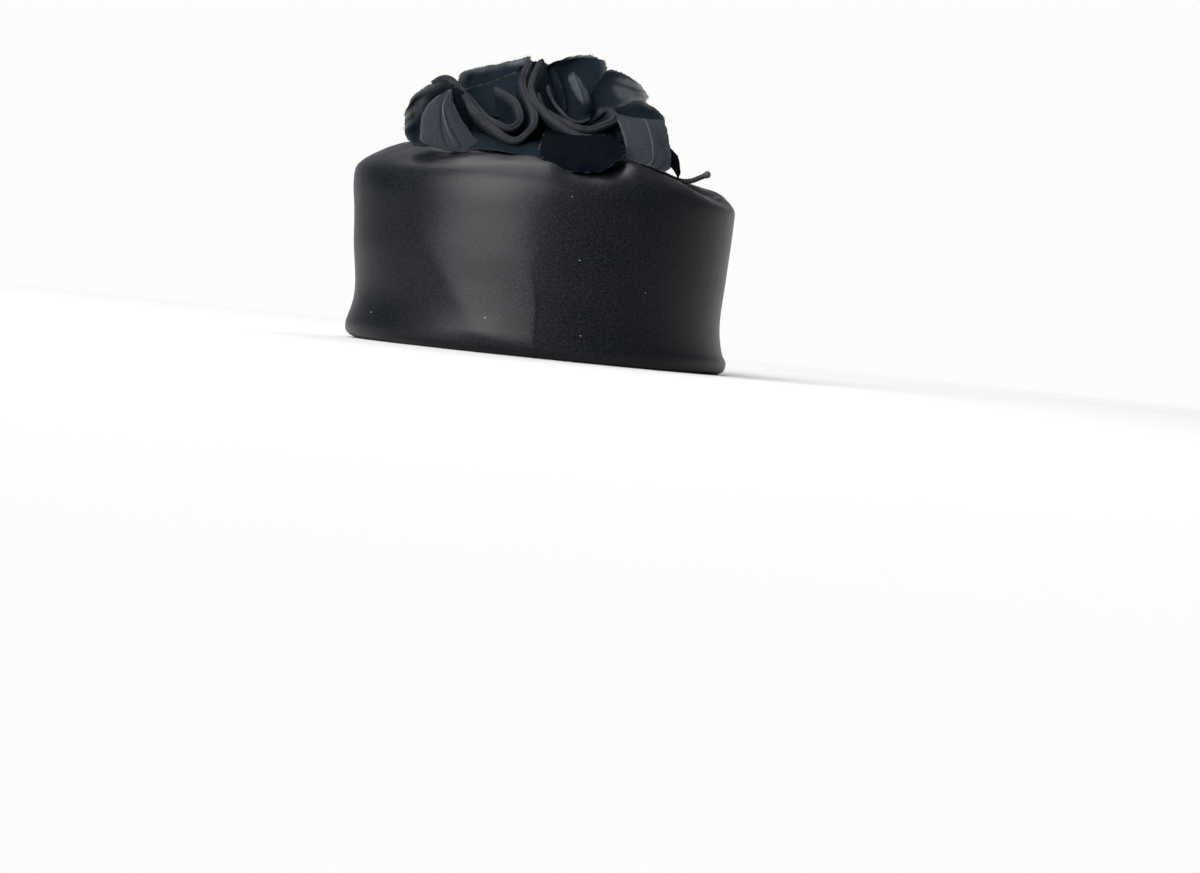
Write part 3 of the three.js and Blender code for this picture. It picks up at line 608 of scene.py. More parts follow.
@dataclass(frozen=True)
class SatinFinish:
    """Black satin: a fine slanting grain with a broad soft shine and a little lint."""

    name: str = "black_satin"
    ground: tuple[float, float, float] = (0.0004, 0.0010, 0.0021)
    worn: tuple[float, float, float] = (0.0012, 0.0017, 0.0026)
    thread: tuple[float, float, float] = (0.0130, 0.0137, 0.0165)
    roughness: float = 0.37
    grain_turn: float = 28.0
    lint_cell: float = 9.5

    def material(self) -> bpy.types.Material:
        """Builds the finish.

        Returns:
            The finished material.
        """
        material, g = new_material(self.name)
        grain = g.clouds(g.cloth_place(self.grain_turn, (1.5, 0.5)), 3.0, 0.7)
        twill = g.clouds(g.cloth_place(self.grain_turn - 3.0, (9.0, 1.4)), 2.0)
        patches = g.clouds(g.solid_place(17.0), 2.0)
        speck = g.node(
            "ShaderNodeTexVoronoi",
            {"voronoi_dimensions": "3D", "feature": "F1"},
            {"Vector": g.solid_place(self.lint_cell), "Scale": 1.0},
        )
        lint = g.wire(speck, "Distance").below(0.026)
        base = g.blend(patches.span(0.3, 0.75), colour(*self.ground), colour(*self.worn))
        shown = grain.span(0.44, 0.64) * 0.62 + twill.span(0.5, 0.8) * 0.12
        tinted = g.blend(shown, base, colour(*self.thread))
        linted = g.blend(lint * 0.8, tinted, colour(0.3, 0.31, 0.33))
        relief = g.bump(grain * 0.8 + twill * 0.35, 0.085)
        waved = g.bump(patches, 0.12, relief)
        close_material(
            g,
            {
                "Base Color": linted,
                "Roughness": self.roughness + (grain - 0.5) * 0.12 + (patches - 0.5) * 0.06 + lint * 0.3,
                "Specular IOR Level": 0.16,
                "Normal": waved,
            },
        )
        return material


@dataclass(frozen=True)
class SilkFinish:
    """Matte silk of roses and petals: painted highlight on folded edges, sheer and pale where it is frayed.
    """

    name: str = "black_silk"
    ground: tuple[float, float, float] = (0.0017, 0.0044, 0.0074)
    dusty: tuple[float, float, float] = (0.0060, 0.0088, 0.0120)
    # folded: colour of the painted highlight along the folded edges of the rose strips.
    folded: tuple[float, float, float] = (0.0200, 0.0200, 0.0225)
    pale: tuple[float, float, float] = (0.062, 0.069, 0.072)
    frayed: tuple[float, float, float] = (0.05, 0.05, 0.052)
    sheer: tuple[float, float, float] = (0.085, 0.09, 0.09)
    shine: float = 0.03
    roughness: float = 0.75

    def material(self) -> bpy.types.Material:
        """Builds the finish.

        Returns:
            The finished material.
        """
        material, g = new_material(self.name)
        edge, fold, sheer, pale = g.mark("edge"), g.mark("fold"), g.mark("sheer"), g.mark("pale")
        mottle = g.clouds(g.solid_place(3.2), 3.0)
        broad = g.clouds(g.solid_place(9.0), 2.0)
        fine = g.clouds(g.cloth_place(45.0, (0.8, 0.45)), 2.0)
        warp = g.clouds(g.cloth_place(0.0, (0.4, 7.0)), 1.0)
        weft = g.clouds(g.cloth_place(0.0, (7.0, 0.4)), 1.0)
        weave = warp * 0.5 + weft * 0.5
        speckle = fine.span(0.35, 0.65)
        base = g.blend(mottle * 0.45 + speckle * 0.55, colour(*self.ground), colour(*self.dusty))
        # Painted highlight along the folded edges of the strips, broken up by noise.
        fold_highlight = fold * (broad.span(0.25, 0.65) * 0.5 + speckle * 0.65)
        silk_with_highlight = g.blend(fold_highlight, base, colour(*self.folded))
        tatter = edge * mottle.span(0.4, 0.7) * (0.2 + fine * 0.9)
        torn = g.blend(tatter, silk_with_highlight, colour(*self.frayed))
        faded = g.blend(pale * (0.3 + mottle * 0.8), torn, colour(*self.pale))
        thin = g.blend(sheer * (0.5 + fine), faded, colour(*self.sheer))
        relief = g.bump(weave + fine * 0.5, 0.1)
        close_material(
            g,
            {
                "Base Color": thin,
                "Roughness": self.roughness + (fine - 0.5) * 0.15 + edge * 0.1,
                "Specular IOR Level": self.shine,
                "Alpha": 1.0 - sheer * (0.3 + weave * 0.7),
                "Normal": g.bump(mottle, 0.4, relief),
            },
        )
        return material


@dataclass(frozen=True)
class LeafFinish:
    """Stiffened matte cloth of the leaves: paler, with a fine grain and a raised vein."""

    name: str = "leaf_cloth"
    ground: tuple[float, float, float] = (0.0080, 0.0100, 0.0132)
    light: tuple[float, float, float] = (0.0225, 0.0248, 0.0300)
    # vein: colour of the painted highlight along the raised vein.
    vein: tuple[float, float, float] = (0.085, 0.083, 0.088)
    roughness: float = 0.85

    def material(self) -> bpy.types.Material:
        """Builds the finish.

        Returns:
            The finished material.
        """
        material, g = new_material(self.name)
        edge = g.mark("edge")
        vein = g.mark("vein")
        crease = g.mark("crease")
        grain = g.clouds(g.cloth_place(20.0, (1.1, 0.6)), 4.0, 0.7)
        patches = g.clouds(g.solid_place(6.0), 3.0)
        shown = grain.span(0.3, 0.7) * 0.65 + patches * 0.35
        base = g.blend(shown, colour(*self.ground), colour(*self.light))
        # Painted shade: the leaf is darkened along its creases.
        shaded = g.blend(crease * 0.6, base, colour(*(0.4 * c for c in self.ground)))
        # Painted highlight along the raised vein.
        veined = g.blend(vein * (0.3 + grain), shaded, colour(*self.vein))
        torn = g.blend(edge * grain.span(0.3, 0.7) * 0.7, veined, colour(0.06, 0.06, 0.068))
        relief = g.bump(grain * 0.6 + vein * 1.4 - crease * 1.2, 0.1)
        close_material(
            g,
            {
                "Base Color": torn,
                "Roughness": self.roughness + (grain - 0.5) * 0.1,
                "Specular IOR Level": 0.04,
                "Normal": relief,
            },
        )
        return material


@dataclass(frozen=True)
class BindingFinish:
    """Cloth tape wound round the wire of the stem and the necks of the roses."""

    name: str = "stem_binding"
    ground: tuple[float, float, float] = (0.006, 0.0062, 0.0072)
    # ridge: colour of the painted highlight on the raised turns of the tape.
    ridge: tuple[float, float, float] = (0.022, 0.022, 0.025)
    pitch: float = 1.4

    def material(self) -> bpy.types.Material:
        """Builds the finish.

        Returns:
            The finished material.
        """
        material, g = new_material(self.name)
        edge = g.mark("edge")
        fibre = g.clouds(g.cloth_place(12.0, (0.5, 0.25)), 3.0, 0.65)
        cells = g.cloth_place(18.0, (self.pitch, self.pitch))
        place = g.node("ShaderNodeSeparateXYZ", {}, {"Vector": cells})
        turns = (g.wire(place, "Y") * (2 * math.pi)).sine() * 0.5 + 0.5
        # Painted highlight and shade: lighter on the raised turns of the tape, darker in the grooves between
        # them.
        base = g.blend(turns * (0.3 + fibre * 0.7), colour(*self.ground), colour(*self.ridge))
        torn = g.blend(edge * (0.3 + fibre), base, colour(0.07, 0.07, 0.076))
        close_material(
            g,
            {
                "Base Color": torn,
                "Roughness": 0.8 + (fibre - 0.5) * 0.1,
                "Specular IOR Level": 0.25,
                "Normal": g.bump(turns + fibre * 0.5, 0.16),
            },
        )
        return material


@dataclass(frozen=True)
class InsideFinish:
    """Plain dark cloth inside the crown, where nothing shows from outside."""

    name: str = "plain_inside"
    ground: tuple[float, float, float] = (0.008, 0.008, 0.009)
    light: tuple[float, float, float] = (0.016, 0.016, 0.018)

    def material(self) -> bpy.types.Material:
        """Builds the finish.

        Returns:
            The finished material.
        """
        material, g = new_material(self.name)
        warp = g.clouds(g.cloth_place(0.0, (0.6, 9.0)), 2.0)
        weft = g.clouds(g.cloth_place(0.0, (9.0, 0.6)), 2.0)
        patches = g.clouds(g.solid_place(12.0), 2.0)
        weave = warp * 0.5 + weft * 0.5
        close_material(
            g,
            {
                "Base Color": g.blend(weave * 0.6 + patches * 0.4, colour(*self.ground), colour(*self.light)),
                "Roughness": 0.86 + (weave - 0.5) * 0.1,
                "Specular IOR Level": 0.25,
                "Normal": g.bump(weave + patches, 0.12),
            },
        )
        return material


@dataclass(frozen=True)
class FloorFinish:
    """Plain pale floor that thins out into the pale surround."""

    name: str = "pale_floor"
    ground: tuple[float, float, float] = (0.4, 0.397, 0.39)
    solid_to: float = 0.3
    gone_at: float = 1.25

    def material(self) -> bpy.types.Material:
        """Builds the finish.

        Returns:
            The finished material.
        """
        material, g = new_material(self.name)
        place = g.node("ShaderNodeTexCoord")
        reach = g.node("ShaderNodeVectorMath", {"operation": "LENGTH"}, {0: place.outputs["Object"]})
        far = g.wire(reach, "Value").span(self.solid_to, self.gone_at)
        grain = g.clouds(g.solid_place(30.0), 2.0)
        paint = g.blend(grain, colour(*self.ground), colour(*(0.985 * c for c in self.ground)))
        floor = g.node("ShaderNodeBsdfPrincipled", {}, {"Base Color": paint, "Roughness": 0.9})
        clear = g.node("ShaderNodeBsdfTransparent")
        mixed = g.node("ShaderNodeMixShader", {}, {0: far, 1: floor.outputs[0], 2: clear.outputs[0]})
        g.node("ShaderNodeOutputMaterial", {}, {"Surface": mixed.outputs[0]})
        return material


# ---- The crown --------------------------------------------------------------------------------------


class WallRow(NamedTuple):
    """Height of a section of the side, and how far it reaches back, forward and sideways."""

    height: float
    back: float
    front: float
    side: float


class TopRow(NamedTuple):
    """Crest, valley and swell of the draped top at one azimuth: share of half-size, and height."""

    azimuth: float
    crest: float
    crest_z: float
    valley: float
    valley_z: float
    swell: float
    swell_z: float


WALL_SECTIONS = (
    WallRow(0.0, -79.9, 84.2, 77.4),
    WallRow(0.8, -82.2, 86.2, 79.2),
    WallRow(2.6, -84.3, 87.4, 80.3),
    WallRow(5.8, -84.9, 87.5, 80.4),
    WallRow(8.3, -84.5, 86.0, 80.1),
    WallRow(10.9, -83.8, 85.1, 79.9),
    WallRow(14.0, -83.0, 84.3, 79.8),
    WallRow(44.8, -85.0, 84.0, 79.9),
    WallRow(58.0, -86.1, 84.5, 79.9),
    WallRow(70.0, -87.5, 84.8, 79.9),
)

SHOULDER = ((0.0, 0.2), (0.035, 0.36), (0.135, 0.49), (0.365, 0.67), (0.705, 0.86))

TOP_SECTIONS = (
    TopRow(0, 0.93, 80.0, 0.885, 81.2, 0.66, 85.4),
    TopRow(12, 0.9, 81.8, 0.84, 83.6, 0.64, 86.2),
    TopRow(30, 0.84, 84.8, 0.77, 86.6, 0.62, 87.2),
    TopRow(60, 0.8, 87.4, 0.73, 88.8, 0.6, 88.4),
    TopRow(78, 0.8, 87.0, 0.73, 88.0, 0.6, 88.2),
    TopRow(96, 0.8, 88.6, 0.73, 90.2, 0.6, 89.4),
    TopRow(124, 0.8, 87.6, 0.72, 88.9, 0.6, 89.6),
    TopRow(150, 0.8, 88.2, 0.72, 90.4, 0.6, 90.2),
    TopRow(180, 0.8, 87.9, 0.72, 90.2, 0.62, 90.9),
    TopRow(205, 0.8, 85.3, 0.72, 87.3, 0.6, 87.6),
    TopRow(228, 0.8, 84.1, 0.74, 85.0, 0.6, 84.7),
    TopRow(245, 0.79, 86.2, 0.74, 86.9, 0.6, 83.9),
    TopRow(258, 0.78, 86.7, 0.73, 87.2, 0.6, 83.5),
    TopRow(270, 0.78, 87.0, 0.73, 87.1, 0.6, 83.1),
    TopRow(283, 0.79, 82.8, 0.73, 82.6, 0.6, 82.2),
    TopRow(294, 0.79, 87.2, 0.72, 85.2, 0.6, 82.5),
    TopRow(302, 0.78, 90.4, 0.7, 86.4, 0.58, 84.0),
    TopRow(312, 0.78, 89.2, 0.7, 83.0, 0.58, 84.2),
    TopRow(322, 0.78, 86.2, 0.7, 79.7, 0.57, 83.7),
    TopRow(335, 0.81, 80.8, 0.74, 77.3, 0.58, 83.6),
    TopRow(347, 0.885, 78.3, 0.83, 76.2, 0.62, 83.6),
)


@dataclass
class Crown:
    """The satin side and draped top, one shell with a rolled lower edge and a lapped join."""

    satin: bpy.types.Material
    inside: bpy.types.Material
    node: str = "crown"
    wall: float = 2.2
    rim_band: float = 2.6
    hollow_floor: float = 85.5
    hollow_shift: float = -12.0
    lap_azimuth: float = 269.6
    lap_rise: float = 0.62
    fold_rise: float = 1.35
    spacing: float = 1.15
    measure_radius: float = 84.0
    arc_radius: float = 82.0
    lowest_inside: float = 2.5
    least_reach: float = 0.4
    soft_steps: int = 12
    soft_spread: float = 6.0
    flat: tuple[float, float] = (0.56, 0.19)
    flat_area: float = 0.078

    def top_column(self, column: str, azimuth: Array) -> Array:
        """Reads the top's table at any azimuth.

        Args:
            column: Name of the column.
            azimuth: Azimuths in degrees.

        Returns:
            The column's value at each azimuth.
        """
        turns = [
            (row.azimuth + turn, getattr(row, column)) for turn in (-360, 0, 360) for row in TOP_SECTIONS
        ]
        knots, values = np.array(turns, float).T
        return through(knots, values, azimuth % 360)

    def profile(self, azimuth: Array) -> Array:
        """Outer profile of the crown.

        Args:
            azimuth: Azimuths in degrees.

        Returns:
            For each azimuth, rows of middle x, reach, y shift, height and sideways reach.
        """
        rows = [
            [(s.front + s.back) / 2, (s.front - s.back) / 2, 0.0, s.height, s.side] for s in WALL_SECTIONS
        ]
        middle, full, _, wall_top, side = rows[-1]
        out = [np.broadcast_to(np.array(r), (len(azimuth), 5)) for r in rows]
        crest, crest_z, valley, valley_z, swell, swell_z = (
            self.top_column(column, azimuth) for column in TopRow._fields[1:]
        )

        def add(share: Array, height: Array) -> None:
            """Adds one row of the top.

            Args:
                share: Share of the half-size at each azimuth.
                height: Height at each azimuth in mm.
            """
            shift = np.where(share < swell, self.hollow_shift * (1 - share / swell), 0)
            out.append(np.stack([np.full_like(share, middle), full * share, shift, height, side * share], 1))

        for run, rise in SHOULDER:
            add(1 - run * (1 - crest), wall_top + rise * (crest_z - wall_top))
        add(crest, crest_z)
        add((crest + valley) / 2, (crest_z + valley_z) / 2 + 0.35)
        add(valley, valley_z)
        for f in (0.35, 0.7):
            add(valley + (swell - valley) * f, valley_z + (swell_z - valley_z) * f * f * (3 - 2 * f))
        add(swell, swell_z)
        for f in (0.72, 0.42, 0.16, 0.03):
            add(swell * f, self.hollow_floor + (swell_z - self.hollow_floor) * f * f * (3 - 2 * f))
        return np.stack(out, 1)

    def refined(self, rows: Array, azimuth: Array) -> Array:
        """The profile rounded and cut into short steps.

        Args:
            rows: Profile rows for each azimuth.
            azimuth: The azimuths in degrees.

        Returns:
            More rows of the same columns.
        """
        mean = rows.mean(0)
        chord = np.hypot(np.diff(mean[:, 1]), np.diff(mean[:, 3]))
        slope = np.diff(rows, axis=1) / chord[None, :, None]
        tangent = np.zeros_like(rows)
        before, after = chord[:-1][None, :, None], chord[1:][None, :, None]
        tangent[:, 1:-1] = (slope[:, :-1] * after + slope[:, 1:] * before) / (before + after)
        tangent[:, 0], tangent[:, -1] = slope[:, 0], slope[:, -1]
        out = []
        for i, length in enumerate(chord):
            steps = max(2, math.ceil(length / self.spacing))
            for k in range(steps + (i == len(chord) - 1)):
                t = k / steps
                out.append(
                    rows[:, i] * (1 + 2 * t) * (1 - t) ** 2
                    + tangent[:, i] * length * t * (1 - t) ** 2
                    + rows[:, i + 1] * t * t * (3 - 2 * t)
                    + tangent[:, i + 1] * length * t * t * (t - 1)
                )
        return self.softened(np.stack(out, 1), azimuth)

    def softened(self, rows: Array, azimuth: Array) -> Array:
        """Draws out the near side's shoulder and crest.

        Args:
            rows: Profile rows for each azimuth.
            azimuth: The azimuths in degrees.

        Returns:
            The softened rows.
        """
        steps = np.arange(-self.soft_steps, self.soft_steps + 1)
        kernel = np.exp(-0.5 * (steps / self.soft_spread) ** 2)
        kernel /= kernel.sum()
        spread = np.pad(rows, ((0, 0), (self.soft_steps, self.soft_steps), (0, 0)), mode="edge")
        smooth = sum(k * spread[:, i : i + rows.shape[1]] for i, k in enumerate(kernel))
        near = ease(-np.sin(np.radians(azimuth)), 0.2, 0.75)[:, None, None]
        high = ease(rows[..., 3:4], 52, 72)
        return rows + (smooth - rows) * near * high

    def placed(self, rows: Array, azimuth: Array) -> Array:
        """Turns profile rows into points.

        Args:
            rows: Profile rows for each azimuth.
            azimuth: The azimuths in degrees.

        Returns:
            Points, rows by azimuths by 3.
        """
        a = np.radians(azimuth)[:, None]
        x = rows[..., 0] + rows[..., 1] * np.cos(a)
        y = rows[..., 2] + rows[..., 4] * np.sin(a)
        return np.stack([x, y, rows[..., 3]], -1).transpose(1, 0, 2)

    def lap(self, arc: Array, height: Array) -> Array:
        """How far the lapped join stands out: a ridge, crisp low down and softer upwards.

        Args:
            arc: Measure round the side from the ridge in mm, plus towards the front.
            height: Height in mm.

        Returns:
            The rise in mm.
        """
        arc = arc + 4.0 * ease(height, 22, 42) * (1 - ease(height, 50, 80))
        soft = 0.9 + 8.0 * ease(height, 20, 60)
        ridge = np.exp(-(np.sqrt(arc**2 + soft**2) - soft) / 9.0)
        fade = ease(height, 0.5, 5) * (1 - 0.8 * ease(height, 36, 76))
        step = 0.13 * (1 - ease(arc, -0.3, 1.6)) * ease(arc, -12, 0) * (1 - ease(height, 24, 40))
        return fade * (self.lap_rise * ridge + step)

    def bias_fold(self, arc: Array, height: Array) -> Array:
        """A soft slanting fold across the near side.

        Args:
            arc: Measure round the side from the lap in mm, minus towards the back.
            height: Height in mm.

        Returns:
            The rise in mm.
        """
        start, end = np.array([-65.0, 60.0]), np.array([-24.0, 10.0])
        length = float(np.hypot(*(end - start)))
        way = (end - start) / length
        t = ((arc - start[0]) * way[0] + (height - start[1]) * way[1]) / length
        off = (height - start[1]) * way[0] - (arc - start[0]) * way[1]
        reach = np.where(off > 0, 17.0, 11.0)
        ridge = np.exp(-(np.sqrt(off**2 + 9.0) - 3.0) / reach)
        return self.fold_rise * ridge * ease(t, -0.4, 0.5) * (1 - ease(t, 1.25, 1.8))

    def dressed(self, azimuth: Array, points: Array) -> Array:
        """The outer points with the satin's folds and soft unevenness added.

        Args:
            azimuth: Azimuth of each column in degrees.
            points: Smooth points, rows by columns by 3.

        Returns:
            The worked points.
        """
        normal = grid_normals(points)
        outward = points - np.array([0, 0, 60.0])
        flip = np.sign((normal * outward).sum(-1, keepdims=True))
        normal = normal * np.where(flip == 0, 1, flip)
        turn = np.broadcast_to(azimuth % 360, points.shape[:2])
        height = points[..., 2]
        arc = np.radians(turn - self.lap_azimuth) * self.arc_radius
        reach = np.hypot((points[..., 0] - 2) / 86, points[..., 1] / 81)
        side = ease(reach, 0.9, 0.99) * ease(height, 6, 18)
        top = 1 - ease(reach, 0.72, 0.86)
        near = ease(-np.sin(np.radians(turn)), -0.1, 0.35)
        stand = self.lap(arc, height) * ease(reach, 0.75, 0.95)
        stand = stand + self.bias_fold(arc, height) * near * ease(reach, 0.9, 0.99) * ease(height, 1, 9)
        soft = wander(points * [1, 1, 0.55], 26.0, 1.0) * 0.1 + wander(points, 9.0, 4.0) * 0.035
        stand = stand + soft * side
        pull = turn + 4.0 * np.sin(np.radians(turn * 2 + 40))
        gathers = np.sin(np.radians(pull * 17)) + 0.6 * np.sin(np.radians(pull * 29 + 70))
        stand = stand + gathers * 0.32 * top * ease(reach, 0.05, 0.3)
        crest = ease(reach, 0.66, 0.8) * (1 - ease(reach, 0.88, 0.99)) * ease(height, 74, 80)
        stand = stand + wander(points, 11.0, 9.0) * 0.4 * crest
        return points + normal * stand[..., None]

    def build(self) -> bpy.types.Object:
        """The crown's mesh with its two finishes.

        Returns:
            The finished piece.
        """
        spans = ((90, 262, 1.18), (262, 277, 0.3), (277, 450, 1.18))
        azimuth = np.concatenate(
            [np.linspace(a, b, round((b - a) / s), endpoint=False) for a, b, s in spans]
        )
        rows = self.refined(self.profile(azimuth), azimuth)
        outer = self.dressed(azimuth, self.placed(rows, azimuth))
        inner_rows = self.inner(rows[:, ::5])
        foot = rows[:, :1].copy()
        foot[:, :, 1] -= self.rim_band
        foot[:, :, 4] -= self.rim_band
        inner = self.placed(np.concatenate([foot, inner_rows], 1), azimuth)
        shell = Shell()
        rings = np.concatenate([inner[::-1], outer])
        count = len(azimuth)
        rise = np.linalg.norm(np.diff(rings, axis=0), axis=2).mean(1)
        v = np.concatenate([[0], np.cumsum(rise)])
        closed = np.concatenate([rings, rings[:, :1]], 1)
        wide = count + 1
        u = np.radians(np.append(azimuth, spans[-1][1]) - spans[0][0]) * self.measure_radius
        uv = grid_measure(u, v[:, None], (len(rings), wide))
        first = shell.add(closed.reshape(-1, 3), uv.reshape(-1, 2), {})
        middles = np.array([rings[0].mean(0), rings[-1].mean(0)])
        poles = shell.add(middles, np.array([[0, 0], [0, v[-1]]]), {})
        for r in range(len(rings) - 1):
            for i in range(count):
                a = first + r * wide + i
                shell.faces.append((a, a + 1, a + 1 + wide, a + wide))
        last = first + (len(rings) - 1) * wide
        for i in range(count):
            shell.faces.append((poles, first + i + 1, first + i))
            shell.faces.append((poles + 1, last + i, last + i + 1))
        piece = shell.build("crown_satin")
        piece.data.materials.append(self.satin)
        piece.data.materials.append(self.inside)
        inside_faces = (len(inner) - 1) * count
        for number, face in enumerate(piece.data.polygons):
            if number < inside_faces:
                face.material_index = 1
        for number in range(count):
            piece.data.polygons[(len(rings) - 1) * count + 2 * number].material_index = 1
        weld(piece)
        return piece

    def inner(self, rows: Array) -> Array:
        """Moves the profile in by the wall's thickness.

        Args:
            rows: Outer profile rows for each azimuth.

        Returns:
            The inner rows, without the lowest ones.
        """
        before = np.concatenate([rows[:, :1], rows[:, :-1]], 1)
        after = np.concatenate([rows[:, 1:], rows[:, -1:]], 1)
        run = after - before
        length = np.hypot(run[..., 1], run[..., 3])
        length = np.where(length < 1e-6, 1, length)
        moved = rows.copy()
        moved[..., 1] -= self.wall * run[..., 3] / length
        moved[..., 4] -= self.wall * run[..., 3] / length
        moved[..., 3] += self.wall * run[..., 1] / length
        keep = moved[:, :, 3].mean(0) > self.lowest_inside
        moved[..., 1] = np.maximum(moved[..., 1], self.least_reach)
        moved[..., 4] = np.maximum(moved[..., 4], self.least_reach)
        return moved[:, keep]

    def dress(self, piece: bpy.types.Object) -> None:
        """Fixes the crown to the frame and hides its solid.

        Args:
            piece: The crown's mesh.
        """
        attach(piece, "root")
        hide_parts(self.node)


def work_whole(piece: bpy.types.Object, work: Callable[[], object]) -> None:
    """Runs one mesh operator over the whole of a piece.

    Args:
        piece: The piece.
        work: Calls the operator.
    """
    deselect()
    bpy.context.view_layer.objects.active = piece
    piece.select_set(True)
    bpy.ops.object.mode_set(mode="EDIT")
    bpy.ops.mesh.select_all(action="SELECT")
    work()
    bpy.ops.object.mode_set(mode="OBJECT")
    piece.select_set(False)


def weld(piece: bpy.types.Object) -> None:
    """Closes the seams of a piece by merging doubled points."""
    work_whole(piece, lambda: bpy.ops.mesh.remove_doubles(threshold=SEAM))


def outwards(piece: bpy.types.Object) -> None:
    """Turns the faces of a closed piece outwards."""
    work_whole(piece, lambda: bpy.ops.mesh.normals_make_consistent(inside=False))


def deselect() -> None:
    """Leaves nothing selected and object mode on."""
    if bpy.context.object is not None and bpy.context.object.mode != "OBJECT":
        bpy.ops.object.mode_set(mode="OBJECT")
    for obj in bpy.context.selected_objects:
        obj.select_set(False)


# ---- Roses ------------------------------------------------------------------------------------------


class FoldRow(NamedTuple):
    """A point of a folded edge in its rose's own frame: across, up the face, out of the heart."""

    across: float
    up: float
    out: float


@dataclass
class Fold:
    """One folded strip: where its edge runs, how it bellies and where its foot is gathered."""

    rows: tuple[FoldRow, ...]
    belly: float
    root: float
    stations: int = 120
    bead: float = 1.75
    thin: float = 0.55
    seed: float = 0.0


@dataclass
class Rose:
    """A rose wound from folded strips, gathered into a bound neck."""

    name: str
    node: str
    heart: tuple[float, float, float]
    folds: tuple[Fold, ...]
    silk: bpy.types.Material
    binding: bpy.types.Material
    tilt: float = 55.0
    foot_z: float = 82.5

    def frame(self) -> tuple[Array, Array, Array, Array]:
        """The rose's own frame.

        Returns:
            The heart and the directions across, up the face and out.
        """
        s, c = math.sin(math.radians(self.tilt)), math.cos(math.radians(self.tilt))
        return (
            np.array(self.heart, float),
            np.array([1.0, 0.0, 0.0]),
            np.array([0.0, c, s]),
            np.array([0.0, -s, c]),
        )

    def strip(self, shell: Shell, fold: Fold) -> None:
        """Adds one folded strip as a closed body with a rounded folded edge.

        Args:
            shell: The mesh under way.
            fold: The strip's sizes.
        """
        heart, across, up, out = self.frame()
        t = np.linspace(0, 1, fold.stations)
        rows = along(np.array(fold.rows, float), t)
        reach = np.maximum(np.hypot(rows[:, 0], rows[:, 1]), 1e-6)[:, None]
        away = (rows[:, :1] * across + rows[:, 1:2] * up) / reach
        edge = heart + away * reach + rows[:, 2:3] * out
        foot = heart + away * fold.root + out
        bend = (foot + edge) / 2 + away * fold.belly
        depth = np.concatenate([np.linspace(0, 0.7, 15)[:-1], np.linspace(0.7, 0.955, 12)])
        d = depth[None, :, None]
        middle = foot[:, None] * (1 - d) ** 2 + bend[:, None] * 2 * d * (1 - d) + edge[:, None] * d**2
        length = np.concatenate([[0], np.cumsum(np.linalg.norm(np.diff(edge, axis=0), axis=1))])
        drift = self.drift(length, fold.seed)
        side = grid_normals(middle)
        down = unit(np.gradient(middle, axis=1))
        middle = middle + (side * drift[0][:, None, None] + down * drift[1][:, None, None]) * (d**1.5)
        side = grid_normals(middle)
        down = unit(np.gradient(middle, axis=1))
        swell = 1 + 0.22 * self.drift(length * 0.8 + 40, fold.seed + 3)[0] / 0.35
        half = fold.thin + (fold.bead * swell[:, None] - fold.thin) * ease(depth, 0.3, 0.97)[None, :]
        pleat = self.pleats(length, depth, fold)
        face_a = middle + side * (half + pleat)[..., None]
        face_b = middle - side * (half + pleat * 0.6)[..., None]
        groove = math.pi / 2 + self.drift(length * 0.5 + 90, fold.seed + 7)[0]
        cap = []
        for angle in np.linspace(0, math.pi, 23)[1:-1]:
            pinch = 1 - 0.26 * np.exp(-(((angle - groove) / 0.26) ** 2))
            radius = half[:, -1:] * pinch[:, None]
            cap.append(
                middle[:, -1]
                + side[:, -1] * (radius * math.cos(angle))
                + down[:, -1] * (radius * math.sin(angle) * 0.9)
            )
        loop = np.concatenate([face_a, np.stack(cap, 1), face_b[:, ::-1]], 1)
        self.add_loops(shell, loop, length, depth, len(cap))

    def drift(self, length: Array, seed: float) -> Array:
        """Slow hand-made wandering of a folded edge.

        Args:
            length: Measure along the edge in mm.
            seed: Number that picks another pattern.

        Returns:
            The drift sideways and along the depth in mm, 2 by len(length).
        """
        ways = []
        for k, size in ((0, 0.35), (1, 0.3)):
            ways.append([noise.noise(Vector((s * 0.13, seed * 5.1, k * 3.7))) * size for s in length])
        return np.array(ways)

    def pleats(self, length: Array, depth: Array, fold: Fold) -> Array:
        """Small gathers that run from the folded edge down to the heart.

        Args:
            length: Measure along the edge in mm at each station.
            depth: Share of the depth at each point of a face.
            fold: The strip's sizes.

        Returns:
            The rise in mm, stations by depths.
        """
        wave = [
            noise.noise(Vector((s * 0.33, fold.seed * 3.3 + 1, 0.0)))
            + 0.6 * noise.noise(Vector((s * 0.75, fold.seed * 3.3 + 9, 2.0)))
            for s in length
        ]
        strength = 0.55 * ease(1 - depth, 0.03, 0.35) * (0.35 + 0.65 * depth)
        return np.array(wave)[:, None] * strength[None, :]

    def add_loops(self, shell: Shell, loop: Array, length: Array, depth: Array, cap: int) -> None:
        """Joins the loops of a strip into a closed body.

        Args:
            shell: The mesh under way.
            loop: Stations by points round the strip by 3.
            length: Measure along the edge at each station.
            depth: Share of the depth on one face.
            cap: Number of points on the rounded edge.
        """
        shape = loop.shape[:2]
        closed = np.concatenate([loop, loop[:, :1]], 1)
        round_step = np.linalg.norm(np.diff(closed, axis=1), axis=2).mean(0)
        across = np.concatenate([[0], np.cumsum(round_step)])[:-1]
